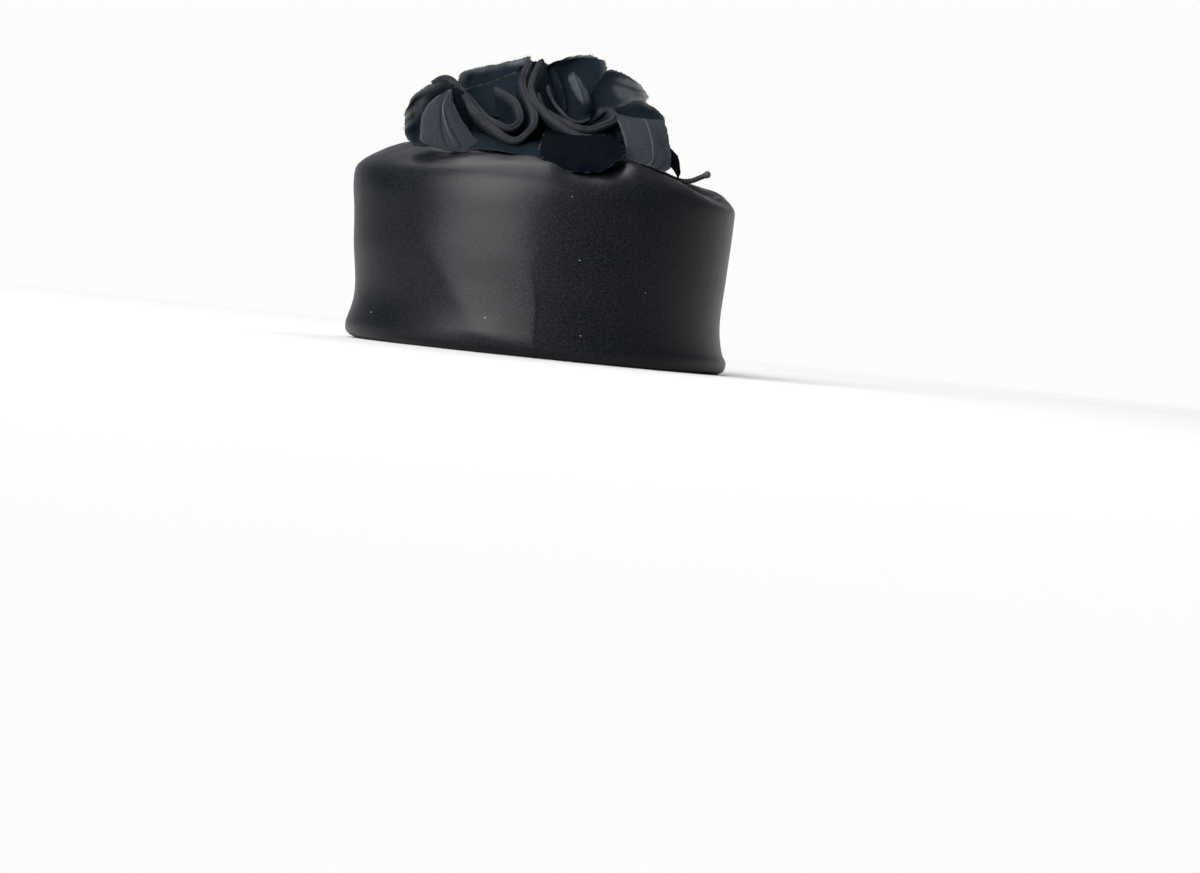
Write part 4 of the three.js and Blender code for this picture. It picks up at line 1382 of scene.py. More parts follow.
        # The fold mark is where the silk gets its painted highlight: the folded edge and the faces next to
        # it.
        face = ease(depth, 0.72, 0.95)
        folded = np.concatenate([face, np.ones(cap), face[::-1]])
        side = Cloth(
            loop, grid_measure(length[:, None], across, shape), {"fold": np.broadcast_to(folded, shape)}
        )
        middles = np.array([loop[0].mean(0), loop[-1].mean(0)])
        ends = Cloth(middles, np.array([[0.0, 0.0], [length[-1], 0.0]]), {"fold": np.zeros(2)})
        shell.tube(side, ends)

    def build(self) -> bpy.types.Object:
        """Winds the strips.

        Returns:
            The strips as one piece.
        """
        shell = Shell()
        for fold in self.folds:
            self.strip(shell, fold)
        piece = shell.build(self.name)
        piece.data.materials.append(self.silk)
        outwards(piece)
        return piece

    def neck(self) -> bpy.types.Object:
        """The bound neck: a cylinder drawn up in steps and wound with tape.

        Returns:
            The finished piece.
        """
        x, y, z = self.heart
        height = z + 2 - self.foot_z
        steps = ((0.35, 3.8), (0.75, 6.5), (1.0, 8.0), (1.12, 5.0))
        deselect()
        bpy.ops.mesh.primitive_cylinder_add(
            vertices=28,
            radius=3.2 * MM,
            depth=0.1 * height * MM,
            location=(x * MM, (y + 1.5) * MM, (self.foot_z + 0.05 * height) * MM),
        )
        piece = bpy.context.object
        piece.name = f"{self.name}_neck"
        bpy.ops.object.mode_set(mode="EDIT")
        bpy.ops.mesh.select_mode(type="FACE")
        at, radius = 0.1, 3.2
        centre = Vector((x, y + 1.5, 0)) * MM
        for level, wide in steps:
            below_top = (self.foot_z + at * height - 0.5) * MM
            pick_faces(piece, lambda f, low=below_top: f.normal.z > 0.9 and f.center.z > low)
            bpy.ops.mesh.extrude_region_move(
                TRANSFORM_OT_translate={"value": (0, 0, (level - at) * height * MM)}
            )
            bpy.ops.transform.resize(
                value=(wide / radius, wide / radius, 1),
                center_override=(centre.x, centre.y, (self.foot_z + level * height) * MM),
            )
            at, radius = level, wide
        bpy.ops.object.mode_set(mode="OBJECT")
        apply_place(piece)
        finish_modifier(piece, "BEVEL", width=0.5 * MM, segments=2, limit_method="ANGLE")
        finish_modifier(piece, "SUBSURF", levels=2, render_levels=2)
        smooth(piece)
        wrap_measure(piece, (x, y + 1.5))
        piece.data.materials.clear()
        piece.data.materials.append(self.binding)
        return piece

    def dress(self, piece: bpy.types.Object, neck: bpy.types.Object) -> None:
        """Fixes the rose and its neck to the frame and hides the rose's solid.

        Args:
            piece: The wound strips.
            neck: The bound neck.
        """
        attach(piece, "root")
        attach(neck, "root")
        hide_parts(self.node)


class FaceView(NamedTuple):
    """A face's middle and direction in the frame."""

    center: Vector
    normal: Vector


def pick_faces(piece: bpy.types.Object, test: Callable[[FaceView], bool]) -> None:
    """Selects only the faces that pass a test, and goes back to edit mode.

    Args:
        piece: The piece, in edit mode.
        test: Says whether a face is picked.
    """
    bpy.ops.mesh.select_all(action="DESELECT")
    bpy.ops.object.mode_set(mode="OBJECT")
    for face in piece.data.polygons:
        face.select = test(FaceView(piece.matrix_world @ face.center, face.normal))
    bpy.ops.object.mode_set(mode="EDIT")


def apply_place(piece: bpy.types.Object) -> None:
    """Puts a piece's place into its mesh and its object at the origin."""
    piece.data.transform(piece.matrix_world)
    piece.matrix_world = Matrix.Identity(4)


def finish_modifier(piece: bpy.types.Object, kind: str, **settings: object) -> None:
    """Adds a modifier and applies it.

    Args:
        piece: The piece.
        kind: Blender's type name of the modifier.
        settings: Its settings, by name.
    """
    deselect()
    bpy.context.view_layer.objects.active = piece
    piece.select_set(True)
    modifier = piece.modifiers.new(kind.lower(), kind)
    for key, value in settings.items():
        setattr(modifier, key, value)
    bpy.ops.object.modifier_apply(modifier=modifier.name)
    piece.select_set(False)


def smooth(piece: bpy.types.Object) -> None:
    """Smooth shading over the whole piece."""
    piece.data.polygons.foreach_set("use_smooth", [True] * len(piece.data.polygons))


def wrap_measure(piece: bpy.types.Object, axis: tuple[float, float]) -> None:
    """Gives a round upright piece a UV map that winds round it.

    Args:
        piece: The piece.
        axis: x and y of its middle in mm.
    """
    mesh = piece.data
    layer = mesh.uv_layers.get("cloth") or mesh.uv_layers.new(name="cloth")
    for loop in mesh.loops:
        place = mesh.vertices[loop.vertex_index].co
        angle = math.atan2(place.y - axis[1] * MM, place.x - axis[0] * MM)
        layer.data[loop.index].uv = (angle * 6 * MM, place.z)


# ---- Petals and leaves ------------------------------------------------------------------------------


class SheetRow(NamedTuple):
    """A station of a petal: middle, half width, direction of the width, and cup of the edges."""

    x: float
    y: float
    z: float
    half: float
    turn: float
    rise: float
    cup: float


@dataclass
class Petal:
    """A cut petal or leaf with worked edges; its pale patch is strength, share along, share across, size."""

    name: str
    rows: tuple[SheetRow, ...]
    cloth: bpy.types.Material
    slot: Slot = Slot.SILK
    thick: float = 0.5
    length_steps: int = 56
    width_steps: int = 44
    ruffle: float = 0.9
    waves: float = 5.0
    tip_curl: float = 0.0
    corner: float = 0.12
    fray: float = 0.5
    threads: int = 14
    vein: float | None = None
    creases: tuple[tuple[float, float], ...] = ()
    edge_width: float = 1.3
    sheer: float = 0.0
    sheer_width: float = 3.0
    pale: tuple[float, float, float, float] = (0.0, 0.5, 0.0, 0.3)
    seed: float = 1.0
    flat: tuple[float, float] = (0.02, 0.02)

    def grid(self) -> tuple[Array, Array, Array]:
        """The petal's middle surface.

        Returns:
            Points, then the share along and the share across at each point.
        """
        rows = np.array(self.rows, float)
        across = np.linspace(-1, 1, self.width_steps)
        t0 = np.linspace(0, 1, self.length_steps)
        s, t = np.meshgrid(across, t0)
        t = t * (1 - self.corner * np.abs(s) ** 3 * ease(t, 0.4, 1.0))
        table = along(rows, t.ravel())
        x, y, z, half, turn, rise, cup = table.T
        turn, rise = np.radians(turn), np.radians(rise)
        side = np.stack([np.cos(turn) * np.cos(rise), np.sin(turn) * np.cos(rise), np.sin(rise)], 1)
        centre = np.stack([x, y, z], 1)
        after = along(rows, np.clip(t.ravel() + 0.02, 0, 1))[:, :3]
        ahead = unit(after - along(rows, t.ravel() - 0.02)[:, :3])
        normal = unit(np.cross(side, ahead))
        facing = (normal[:, 1] > 0.2) | ((np.abs(normal[:, 1]) <= 0.2) & (normal[:, 2] < 0))
        normal = np.where(facing[:, None], -normal, normal)
        flat = s.ravel()
        half = np.maximum(half, 0.8)
        points = centre + side * (flat * half)[:, None] + normal * (cup * flat**2)[:, None]
        shape = (self.length_steps, self.width_steps)
        return points.reshape(*shape, 3), t, s

    def worked(self) -> Cloth:
        """Works the petal's ruffled, curled and torn edges.

        Returns:
            The worked cloth with its marks.
        """
        points, t, s = self.grid()
        normal = grid_normals(points)
        uv = measure(points)
        edge_share = np.maximum(np.abs(s), t)
        outer = np.maximum(ease(np.abs(s), 0.35, 1.0) * ease(t, 0.15, 0.6), ease(t, 0.55, 1.0))
        wave_place = np.stack([s * self.waves, t * self.waves, np.full_like(s, self.seed * 9)], 2)
        roll = wander(wave_place, 1.6, self.seed)
        fine = wander(points, 2.4, self.seed + 3)
        broad = wander(points, 7.5, self.seed + 5)
        lift = self.ruffle * outer * roll + 0.22 * fine * outer + 0.3 * broad * ease(t, 0.1, 0.5)
        lift = lift + self.tip_curl * ease(t, 0.72, 1.0) ** 2
        tear = wander(np.stack([uv[..., 0], uv[..., 1], np.zeros_like(s)], 2), 1.1, self.seed + 11)
        jag = self.fray * (0.55 * tear + 0.35 * wander(points, 3.3, self.seed + 17))
        rim = ease(edge_share, 0.9, 1.0) * ease(t, 0.1, 0.3)
        side_dir = unit(np.gradient(points, axis=1))
        ahead_dir = unit(np.gradient(points, axis=0))
        points = points + normal * lift[..., None]
        points = points + side_dir * (jag * rim * np.sign(s) * ease(np.abs(s), 0.9, 1.0))[..., None]
        points = points + ahead_dir * (jag * rim * ease(t, 0.88, 1.0))[..., None]
        half_width = np.abs(uv[:, -1, 0] - uv[:, 0, 0])[:, None] / 2
        from_side = half_width * (1 - np.abs(s))
        from_tip = uv[-1, 0, 1] - uv[..., 1]
        near_edge = 1 - ease(np.minimum(from_side, from_tip), 0, self.edge_width)
        marks = {"edge": near_edge * ease(t, 0.12, 0.35)}
        if self.sheer > 0:
            worn_at = 0.5 + 0.5 * wander(points, 13.0, self.seed + 23)
            band = 1 - ease(np.minimum(from_side, from_tip), 0, self.sheer_width)
            marks["sheer"] = self.sheer * band * (0.3 + 0.7 * ease(worn_at, 0.1, 0.8)) * ease(t, 0.3, 0.7)
        strength, pale_t, pale_s, spread = self.pale
        if strength > 0:
            off = np.hypot((t - pale_t) * 1.2, (s - pale_s) * 0.4) / spread
            streak = 1 - 0.75 * np.exp(-(((s - pale_s - 0.1 + 0.5 * (t - pale_t)) / 0.12) ** 2))
            marks["pale"] = strength * (1 - ease(off, 0.55, 1.0)) * streak
        # The vein mark raises the vein in the relief and carries its painted highlight.
        if self.vein is not None:
            line = np.abs(s - self.vein) * half_width
            marks["vein"] = (1 - ease(line, 0.08, 0.34)) * ease(t, 0.1, 0.3)
        # Crease lines: sunk in the relief and darkened with painted shade on the leaf.
        if self.creases:
            dark = np.zeros_like(s)
            for low, high in self.creases:
                line = np.abs(s - (low + (high - low) * t)) * half_width
                dark = np.maximum(dark, 1 - ease(line, 0.1, 0.9))
            marks["crease"] = dark * ease(t, 0.02, 0.2) * (1 - ease(t, 0.6, 0.95))
        return Cloth(points, uv, marks)

    def build(self) -> bpy.types.Object:
        """Builds the petal and keeps its flat size.

        Returns:
            One closed sheet with loose threads along its torn edges.
        """
        cloth = self.worked()
        u, v = cloth.uv[..., 0], cloth.uv[..., 1]
        self.flat = (float((u[:, -1] - u[:, 0]).max()) * MM, float(v[-1, 0] - v[0, 0]) * MM)
        shell = Shell()
        thin = 1 - 0.55 * cloth.marks["edge"]
        shell.sheet(cloth, self.thick / 2 * thin)
        self.loose_threads(shell, cloth)
        piece = shell.build(self.name)
        piece.data.materials.append(self.cloth)
        outwards(piece)
        return piece

    def loose_threads(self, shell: Shell, cloth: Cloth) -> None:
        """Adds short threads that stand out of the torn edges.

        Args:
            shell: The mesh under way.
            cloth: The worked petal.
        """
        rows, cols = cloth.points.shape[:2]
        flat = cloth.points.reshape(-1, 3)
        uv = cloth.uv.reshape(-1, 2)
        border = [b for b in border_of(rows, cols) if b // cols > rows * 0.35]
        rng = np.random.default_rng(int(self.seed * 101) + 7)
        for _ in range(self.threads):
            b = int(border[rng.integers(len(border))])
            out = unit(flat[b] - flat[inward(b, rows, cols)])
            way = unit(out + rng.normal(0, 0.5, 3))
            length = rng.uniform(0.35, 1.0) + 0.9 * rng.random() ** 4
            bend = rng.normal(0, 0.3, 3) * length
            shell.fibre(flat[b], way * length, bend, rng.uniform(0.08, 0.15), uv[b], 0.7)

    def dress(self, piece: bpy.types.Object) -> None:
        """Fixes the petal to the frame and hides its solid.

        Args:
            piece: The petal's mesh.
        """
        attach(piece, "root")
        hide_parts(self.name.replace("_cloth", ""))
        area = sheet_area(piece)
        width, length = self.flat
        min(area, width * length)


def sheet_area(piece: bpy.types.Object) -> float:
    """Area of one face of a thin closed sheet, in square metres."""
    return sum(face.area for face in piece.data.polygons) / 2


SHEETS: dict[str, tuple[SheetRow, ...]] = {
    "back_leaf": (
        SheetRow(-42.4, -50.0, 85.5, 4.3, 4, 0, 0.0),
        SheetRow(-43.8, -49.6, 88.6, 12.6, 6, 2, -1.5),
        SheetRow(-47.1, -47.4, 94.4, 11.0, 8, 4, -2.0),
        SheetRow(-49.4, -44.0, 101.3, 8.4, 8, 2, -1.6),
        SheetRow(-49.7, -40.0, 107.3, 4.7, 4, 0, -0.8),
        SheetRow(-47.5, -36.6, 112.5, 0.9, 0, 0, 0.0),
    ),
    "back_rose_side_petal": (
        SheetRow(-36.3, -25.0, 96.7, 6.0, 0, 86, 0.5),
        SheetRow(-45.0, -30.0, 101.0, 13.0, 0, 82, 1.5),
        SheetRow(-54.2, -33.5, 101.2, 14.0, 0, 86, 2.0),
        SheetRow(-61.2, -36.0, 98.4, 11.8, 0, 94, 2.0),
        SheetRow(-65.4, -38.5, 95.8, 8.8, 0, 97, 1.5),
    ),
    "back_rose_inner_petal": (
        SheetRow(-25.6, -20.5, 104.0, 3.9, 0, 8, 0.5),
        SheetRow(-28.1, -17.8, 110.6, 9.9, 0, 14, 1.5),
        SheetRow(-29.6, -15.5, 116.8, 13.3, 0, 22, 2.5),
        SheetRow(-29.7, -14.5, 119.9, 14.0, 0, 25, 3.0),
    ),
    "back_rose_top_petal": (
        SheetRow(-24.8, -12.0, 99.8, 5.0, 0, 5, 1.0),
        SheetRow(-26.3, -8.5, 109.0, 11.9, 0, 8, 3.0),
        SheetRow(-28.4, -5.5, 118.3, 16.4, 0, 13, 4.0),
        SheetRow(-28.9, -4.0, 125.4, 16.3, 0, 17, 4.0),
        SheetRow(-27.9, -3.4, 128.7, 14.4, 0, 18, 3.5),
    ),
    "front_rose_hood_petal": (
        SheetRow(7.0, -12.5, 102.7, 5.9, 0, 0, 1.5),
        SheetRow(6.0, -7.5, 113.1, 12.9, 0, 0, 5.0),
        SheetRow(5.0, -4.5, 123.3, 15.1, 0, 2, 7.0),
        SheetRow(5.4, -4.0, 130.3, 14.5, 0, 6, 7.0),
        SheetRow(7.4, -4.8, 134.6, 11.3, 0, 8, 4.0),
        SheetRow(9.4, -5.6, 136.1, 8.0, 0, 4, 2.0),
    ),
    "front_rose_bud_petal": (
        SheetRow(11.6, -24.5, 109.0, 2.4, -4, -10, -0.8),
        SheetRow(11.4, -25.5, 113.3, 4.1, -4, -16, -2.6),
        SheetRow(9.7, -25.5, 118.7, 4.9, -2, -22, -3.0),
        SheetRow(7.8, -24.5, 123.6, 4.1, 0, -24, -2.2),
        SheetRow(6.5, -23.4, 126.6, 2.0, 0, -20, -0.8),
    ),
    "front_rose_side_petal": (
        SheetRow(14.8, -17.0, 112.7, 5.0, 0, 100, 0.6),
        SheetRow(22.0, -17.5, 120.6, 9.0, 0, 98, 1.4),
        SheetRow(29.8, -18.5, 121.6, 7.4, 0, 102, 1.0),
        SheetRow(36.0, -19.5, 121.2, 4.6, 0, 106, 0.4),
        SheetRow(39.4, -20.0, 120.2, 1.8, 0, 108, 0.0),
    ),
    "front_rose_corner_petal": (
        SheetRow(18.3, -20.0, 106.5, 3.9, 0, 96, 0.2),
        SheetRow(26.6, -22.0, 107.8, 5.9, 0, 96, 0.8),
        SheetRow(35.4, -23.5, 110.2, 7.5, 0, 92, 1.0),
        SheetRow(42.3, -24.0, 110.3, 5.3, 0, 96, 0.6),
        SheetRow(47.6, -24.4, 110.9, 1.4, 0, 100, 0.0),
    ),
    "front_leaf": (
        SheetRow(32.5, -24.6, 98.7, 3.9, -6, 0, 0.0),
        SheetRow(35.4, -27.2, 105.9, 10.4, -6, 0, -0.6),
        SheetRow(37.0, -31.4, 109.2, 11.3, -4, -2, -1.2),
        SheetRow(39.3, -36.6, 104.9, 10.7, -2, -5, -2.0),
        SheetRow(41.7, -40.8, 97.7, 10.3, 2, -8, -2.2),
        SheetRow(42.4, -43.4, 91.8, 10.3, 4, -12, -2.0),
        SheetRow(41.1, -45.6, 88.6, 8.3, 4, -14, -1.6),
    ),
    "small_leaf": (
        SheetRow(39.5, -27.5, 94.0, 2.9, 90, 40, 0.0),
        SheetRow(47.4, -30.0, 95.0, 5.3, 84, 50, 0.8),
        SheetRow(53.4, -32.0, 91.6, 5.1, 80, 40, 0.8),
        SheetRow(56.0, -33.0, 87.4, 3.3, 76, 26, 0.5),
        SheetRow(56.3, -33.6, 84.4, 1.0, 76, 20, 0.0),
    ),
    "low_petal": (
        SheetRow(9.4, -28.0, 101.0, 9.0, 0, 0, 0.0),
        SheetRow(10.6, -37.0, 101.2, 14.2, 0, 1, -1.6),
        SheetRow(13.0, -48.5, 97.4, 18.0, 0, 0, -2.2),
        SheetRow(12.6, -60.0, 90.4, 18.4, 0, 1, -1.0),
        SheetRow(12.1, -66.6, 85.2, 14.8, 0, 3, 0.2),
        SheetRow(11.9, -69.2, 81.2, 9.4, 0, 2, 0.4),
    ),
    "back_rose_low_petal": (
        SheetRow(-22.4, -28.0, 95.5, 13.0, 0, 0, 0.0),
        SheetRow(-22.6, -36.0, 95.0, 18.0, 0, -1, -0.4),
        SheetRow(-22.4, -43.5, 92.4, 20.0, 0, -1, -0.8),
        SheetRow(-22.4, -49.5, 87.4, 20.0, 0, -2, -0.4),
    ),
    "middle_petal": (
        SheetRow(-8.3, -21.0, 88.7, 7.9, 0, 0, -0.5),
        SheetRow(-8.3, -22.5, 95.0, 10.8, 0, 0, -1.0),
        SheetRow(-8.3, -24.0, 101.7, 9.3, 0, 0, -1.0),
        SheetRow(-8.8, -24.5, 107.5, 6.4, 0, 0, -0.6),
        SheetRow(-9.3, -24.0, 112.5, 2.5, 0, 0, 0.0),
    ),
    "rear_left_petal": (
        SheetRow(-26.8, -8.0, 88.2, 17.5, 8, 0, 2.0),
        SheetRow(-29.9, -1.0, 98.8, 18.0, 10, 0, 6.0),
        SheetRow(-33.1, 5.0, 107.3, 21.0, 12, 3, 8.0),
        SheetRow(-34.2, 10.0, 113.8, 19.1, 12, 5, 7.0),
        SheetRow(-34.8, 14.0, 116.8, 12.1, 12, 6, 3.0),
    ),
    "rear_right_petal": (
        SheetRow(15.4, -9.0, 87.2, 22.5, -8, 0, 2.0),
        SheetRow(14.0, -2.0, 100.7, 18.0, -10, 0, 6.0),
        SheetRow(17.0, 3.5, 111.2, 21.0, -12, -3, 8.0),
        SheetRow(18.1, 8.0, 118.6, 18.1, -12, -4, 7.0),
        SheetRow(18.6, 12.0, 122.0, 11.1, -12, -4, 3.0),
    ),
    "rear_middle_petal": (
        SheetRow(-9.0, -12.0, 88.0, 13.0, 0, 0, 1.0),
        SheetRow(-9.5, -9.0, 102.0, 13.0, 0, 0, 3.0),
        SheetRow(-10.0, -7.0, 113.0, 13.5, 0, 0, 4.0),
        SheetRow(-10.6, -6.0, 124.0, 10.5, 0, 0, 3.0),
        SheetRow(-11.0, -6.0, 131.2, 5.5, 0, 4, 1.0),
    ),
    "rear_left_leaf": (
        SheetRow(-12.9, -9.0, 89.2, 2.5, 20, 0, 0.4),
        SheetRow(-19.0, 4.0, 95.2, 8.0, 28, 0, 1.2),
        SheetRow(-27.3, 17.0, 99.3, 10.1, 32, 0, 1.4),
        SheetRow(-35.7, 28.0, 99.9, 7.1, 34, 0, 1.0),
        SheetRow(-42.0, 36.0, 98.7, 0.9, 34, 0, 0.0),
    ),
    "rear_right_leaf": (
        SheetRow(17.9, -6.0, 89.9, 2.5, -24, 0, 0.4),
        SheetRow(25.1, 6.0, 95.4, 8.0, -32, 0, 1.2),
        SheetRow(34.3, 17.0, 98.3, 9.7, -38, 0, 1.4),
        SheetRow(43.7, 26.0, 97.7, 6.7, -40, 0, 1.0),
        SheetRow(50.0, 32.0, 95.3, 0.9, -40, 0, 0.0),
    ),
}


# ---- The stem ---------------------------------------------------------------------------------------


@dataclass
class Stem:
    """Wire stem bound with cloth tape, with a kinked free end and a frayed knob."""

    binding: bpy.types.Material
    radius: float = 1.15
    knob: float = 1.6
    knob_length: float = 3.2
    pitch: float = 1.4
    ridge: float = 0.07
    rings: int = 150
    sides: int = 18
    threads: int = 16
    seed: int = 5
    path: tuple[tuple[float, float, float], ...] = (
        (19.8, -17.0, 90.5),
        (33.5, -20.5, 90.2),
        (46.2, -24.5, 87.5),
        (56.4, -28.0, 84.1),
        (62.0, -29.0, 84.2),
        (66.3, -29.4, 86.2),
        (70.6, -29.8, 88.5),
    )

    def build(self) -> bpy.types.Object:
        """Builds the stem.

        Returns:
            The bound stem with loose threads at its end.
        """
        t = np.linspace(0, 1, self.rings)
        middle = along(np.array(self.path), t)
        ahead = unit(np.gradient(middle, axis=0))
        side = unit(np.cross([0.0, 1.0, 0.0], ahead))
        up = np.cross(ahead, side)
        step = np.linalg.norm(np.diff(middle, axis=0), axis=1)
        length = np.concatenate([[0], np.cumsum(step)])
        left = length[-1] - length
        swell = np.where(left < self.knob_length, np.sin(left / self.knob_length * math.pi), 0)
        turn = np.linspace(0, 2 * math.pi, self.sides, endpoint=False)
        winding = np.sin((length[:, None] / self.pitch + turn[None, :] / (2 * math.pi)) * 2 * math.pi)
        end = 0.35 + 0.65 * ease(left, 0, 0.9)
        size = (self.radius + (self.knob - self.radius) * swell)[:, None] * end[:, None]
        size = size + self.ridge * winding
        ring = side[:, None] * np.cos(turn)[None, :, None] + up[:, None] * np.sin(turn)[None, :, None]
        points = middle[:, None] + ring * size[..., None]
        uv = grid_measure(turn * self.radius, length[:, None], size.shape)
        worn = np.broadcast_to((1 - ease(left, 0.6, 4.0))[:, None], size.shape) * 0.6
        ends_uv = np.array([[0.0, 0.0], [0.0, length[-1]]])
        shell = Shell()
        shell.tube(
            Cloth(points, uv, {"edge": worn}), Cloth(middle[[0, -1]], ends_uv, {"edge": np.array([0.0, 0.6])})
        )
        rng = np.random.default_rng(self.seed)
        for _ in range(self.threads):
            r = int(self.rings - 1 - rng.integers(0, 9))
            k = int(rng.integers(self.sides))
            out = unit(ring[r, k] * 0.8 + ahead[r] * rng.uniform(-0.2, 0.9) + rng.normal(0, 0.2, 3))
            span = rng.uniform(0.5, 1.5)
            shell.fibre(points[r, k], out * span, rng.normal(0, 0.2, 3), 0.13, uv[r, k], 0.9)
        piece = shell.build("stem_bound")
        piece.data.materials.append(self.binding)
        outwards(piece)
        return piece

    def dress(self, piece: bpy.types.Object) -> None:
        """Fixes the stem to the frame.

        Args:
            piece: The stem's mesh.
        """
        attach(piece, "root")
        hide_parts("stem")


# ---- Stage, lights and camera -------------------------------------------------------------------------


@dataclass
class Studio:
    """A pale floor in a pale surround, lit from the left, from above and faintly from behind."""

    floor_radius: float = 4.0
    window_turn: float = 33.0
    window_distance: float = 1.9
    window_size: tuple[float, float] = (1.75, 2.5)
    window_height: float = 1.0
    window_power: float = 150.0
    top_power: float = 34.0
    fill_power: float = 60.0
    surround_radius: float = 7.0
    camera_distance: float = 1.5
    camera_elevation: float = 0.8
    camera_roll: float = 5.9
    camera_aim: tuple[float, float, float] = (0.0021, 0.0, 0.0)
    sensor_width: float = 36.0
    picture_width: float = 0.5424
    aim_on_sensor: tuple[float, float] = (-1.92, 2.43)

    def floor(self) -> bpy.types.Object:
        """Builds the floor.

        Returns:
            The round floor at the foot of the hat.
        """
        deselect()
        bpy.ops.mesh.primitive_circle_add(
            vertices=96, radius=self.floor_radius, fill_type="NGON", location=(0, 0, -0.0002)
        )
        floor = bpy.context.object
        floor.name = "floor"
        bpy.ops.object.mode_set(mode="EDIT")
        bpy.ops.mesh.select_all(action="SELECT")
        bpy.ops.mesh.inset(thickness=self.floor_radius * 0.5, depth=0)
        bpy.ops.object.mode_set(mode="OBJECT")
        apply_place(floor)
        floor.data.materials.append(FloorFinish().material())
        return floor

    def backdrop(self) -> None:
        """A plain pale shell far round the hat, which the light of the surround passes."""
        deselect()
        bpy.ops.mesh.primitive_ico_sphere_add(subdivisions=4, radius=self.surround_radius)
        shell = bpy.context.object
        shell.name = "backdrop"
        for unseen in ("visible_diffuse", "visible_glossy", "visible_shadow", "visible_transmission"):
            setattr(shell, unseen, False)
        material, g = new_material("pale_backdrop")
        glow = g.node("ShaderNodeEmission", {}, {"Color": colour(0.985, 0.98, 0.972), "Strength": 1.0})
        g.node("ShaderNodeOutputMaterial", {}, {"Surface": glow.outputs[0]})
        shell.data.materials.append(material)
        smooth(shell)

    def surround(self) -> None:
        """Light of the surround: bright behind the hat, dimmer towards the room."""
        world = bpy.data.worlds.new("surround")
        bpy.context.scene.world = world
        world.use_nodes = True
        g = Graph(world.node_tree)
        place = g.node("ShaderNodeTexCoord")
        way = g.node("ShaderNodeSeparateXYZ", {}, {"Vector": place.outputs["Generated"]})
        far = (g.wire(way, "Y") + g.wire(way, "X") * 0.65).span(-0.15, 1.1)
        upper = g.wire(way, "Z").span(0.02, 0.5)
        lit = g.blend(far, colour(0.062, 0.082, 0.115), colour(0.98, 0.98, 0.99))
        roofed = g.blend(upper, lit, colour(0.2, 0.21, 0.23))
        light = g.node("ShaderNodeBackground", {}, {"Color": roofed, "Strength": 1.0})
        g.node("ShaderNodeOutputWorld", {}, {"Surface": light.outputs[0]})

    def lamp(
        self,
        name: str,
        place: Vector,
        aim: Vector,
        size: tuple[float, float],
        power: float,
        glossy: bool = True,
    ) -> None:
        """Adds one soft rectangular light.

        Args:
            name: Its name.
            place: Where it stands.
            aim: What it faces.
            size: Width and height in metres.
            power: Power in watts.
            glossy: Whether reflections show it.
        """
        data = bpy.data.lights.new(name, "AREA")
        data.shape = "RECTANGLE"
        data.size, data.size_y = size
        data.energy = power
        lamp = bpy.data.objects.new(name, data)
        lamp.location = place
        lamp.rotation_mode = "QUATERNION"
        lamp.rotation_quaternion = (aim - place).to_track_quat("-Z", "Y")
        lamp.visible_camera = False
        lamp.visible_glossy = glossy
        bpy.context.scene.collection.objects.link(lamp)

    def lights(self) -> None:
        """The window on the left, the soft light above and the weak fill behind."""
        turn = math.radians(self.window_turn)
        x, y = -math.sin(turn) * self.window_distance, -math.cos(turn) * self.window_distance
        place = Vector((x, y, self.window_height))
        aim = Vector((0, 0, 0.09))
        self.lamp("window", place, aim, self.window_size, self.window_power)
        above = Vector((-0.45, 0.3, 1.75))
        self.lamp("top_light", above, above - Vector((0, 0, 1)), (1.05, 2.3), self.top_power)
        self.lamp("back_fill", Vector((0.7, 2.1, 1.1)), aim, (1.6, 1.4), self.fill_power, glossy=False)

    def camera(self) -> None:
        """Camera on the near side, just above the floor, turned a little about its own axis.

        The lens shows picture_width, in metres, at the hat. The aim falls off the middle of the
        sensor, by aim_on_sensor in mm, so the hat stands where it should in the picture.
        """
        elevation, roll = math.radians(self.camera_elevation), math.radians(self.camera_roll)
        lens = self.camera_distance * self.sensor_width / self.picture_width
        target = Vector(self.camera_aim)
        way = Vector((0, math.cos(elevation), -math.sin(elevation)))
        over, rise = Vector((1, 0, 0)), Vector((0, math.sin(elevation), math.cos(elevation)))
        right = over * math.cos(roll) + rise * math.sin(roll)
        top = rise * math.cos(roll) - over * math.sin(roll)
        straight = Matrix((right, top, -way)).transposed().to_quaternion()
        seen_at = Vector((*self.aim_on_sensor, -lens)).normalized()
        data = bpy.data.cameras.new("camera")
        data.sensor_width = self.sensor_width
        data.lens = lens
        data.clip_start, data.clip_end = 0.05, 30
        camera = bpy.data.objects.new("camera", data)
        camera.rotation_mode = "QUATERNION"
        camera.location = target - way * self.camera_distance
        camera.rotation_quaternion = straight @ seen_at.rotation_difference(Vector((0, 0, -1)))
        bpy.context.scene.collection.objects.link(camera)
        bpy.context.scene.camera = camera

    def build(self) -> None:
        """Everything round the hat."""
        self.floor()
        self.backdrop()
        self.surround()
        self.lights()
        self.camera()
        bpy.context.scene.view_settings.view_transform = "Standard"


# ---- The whole hat ------------------------------------------------------------------------------------


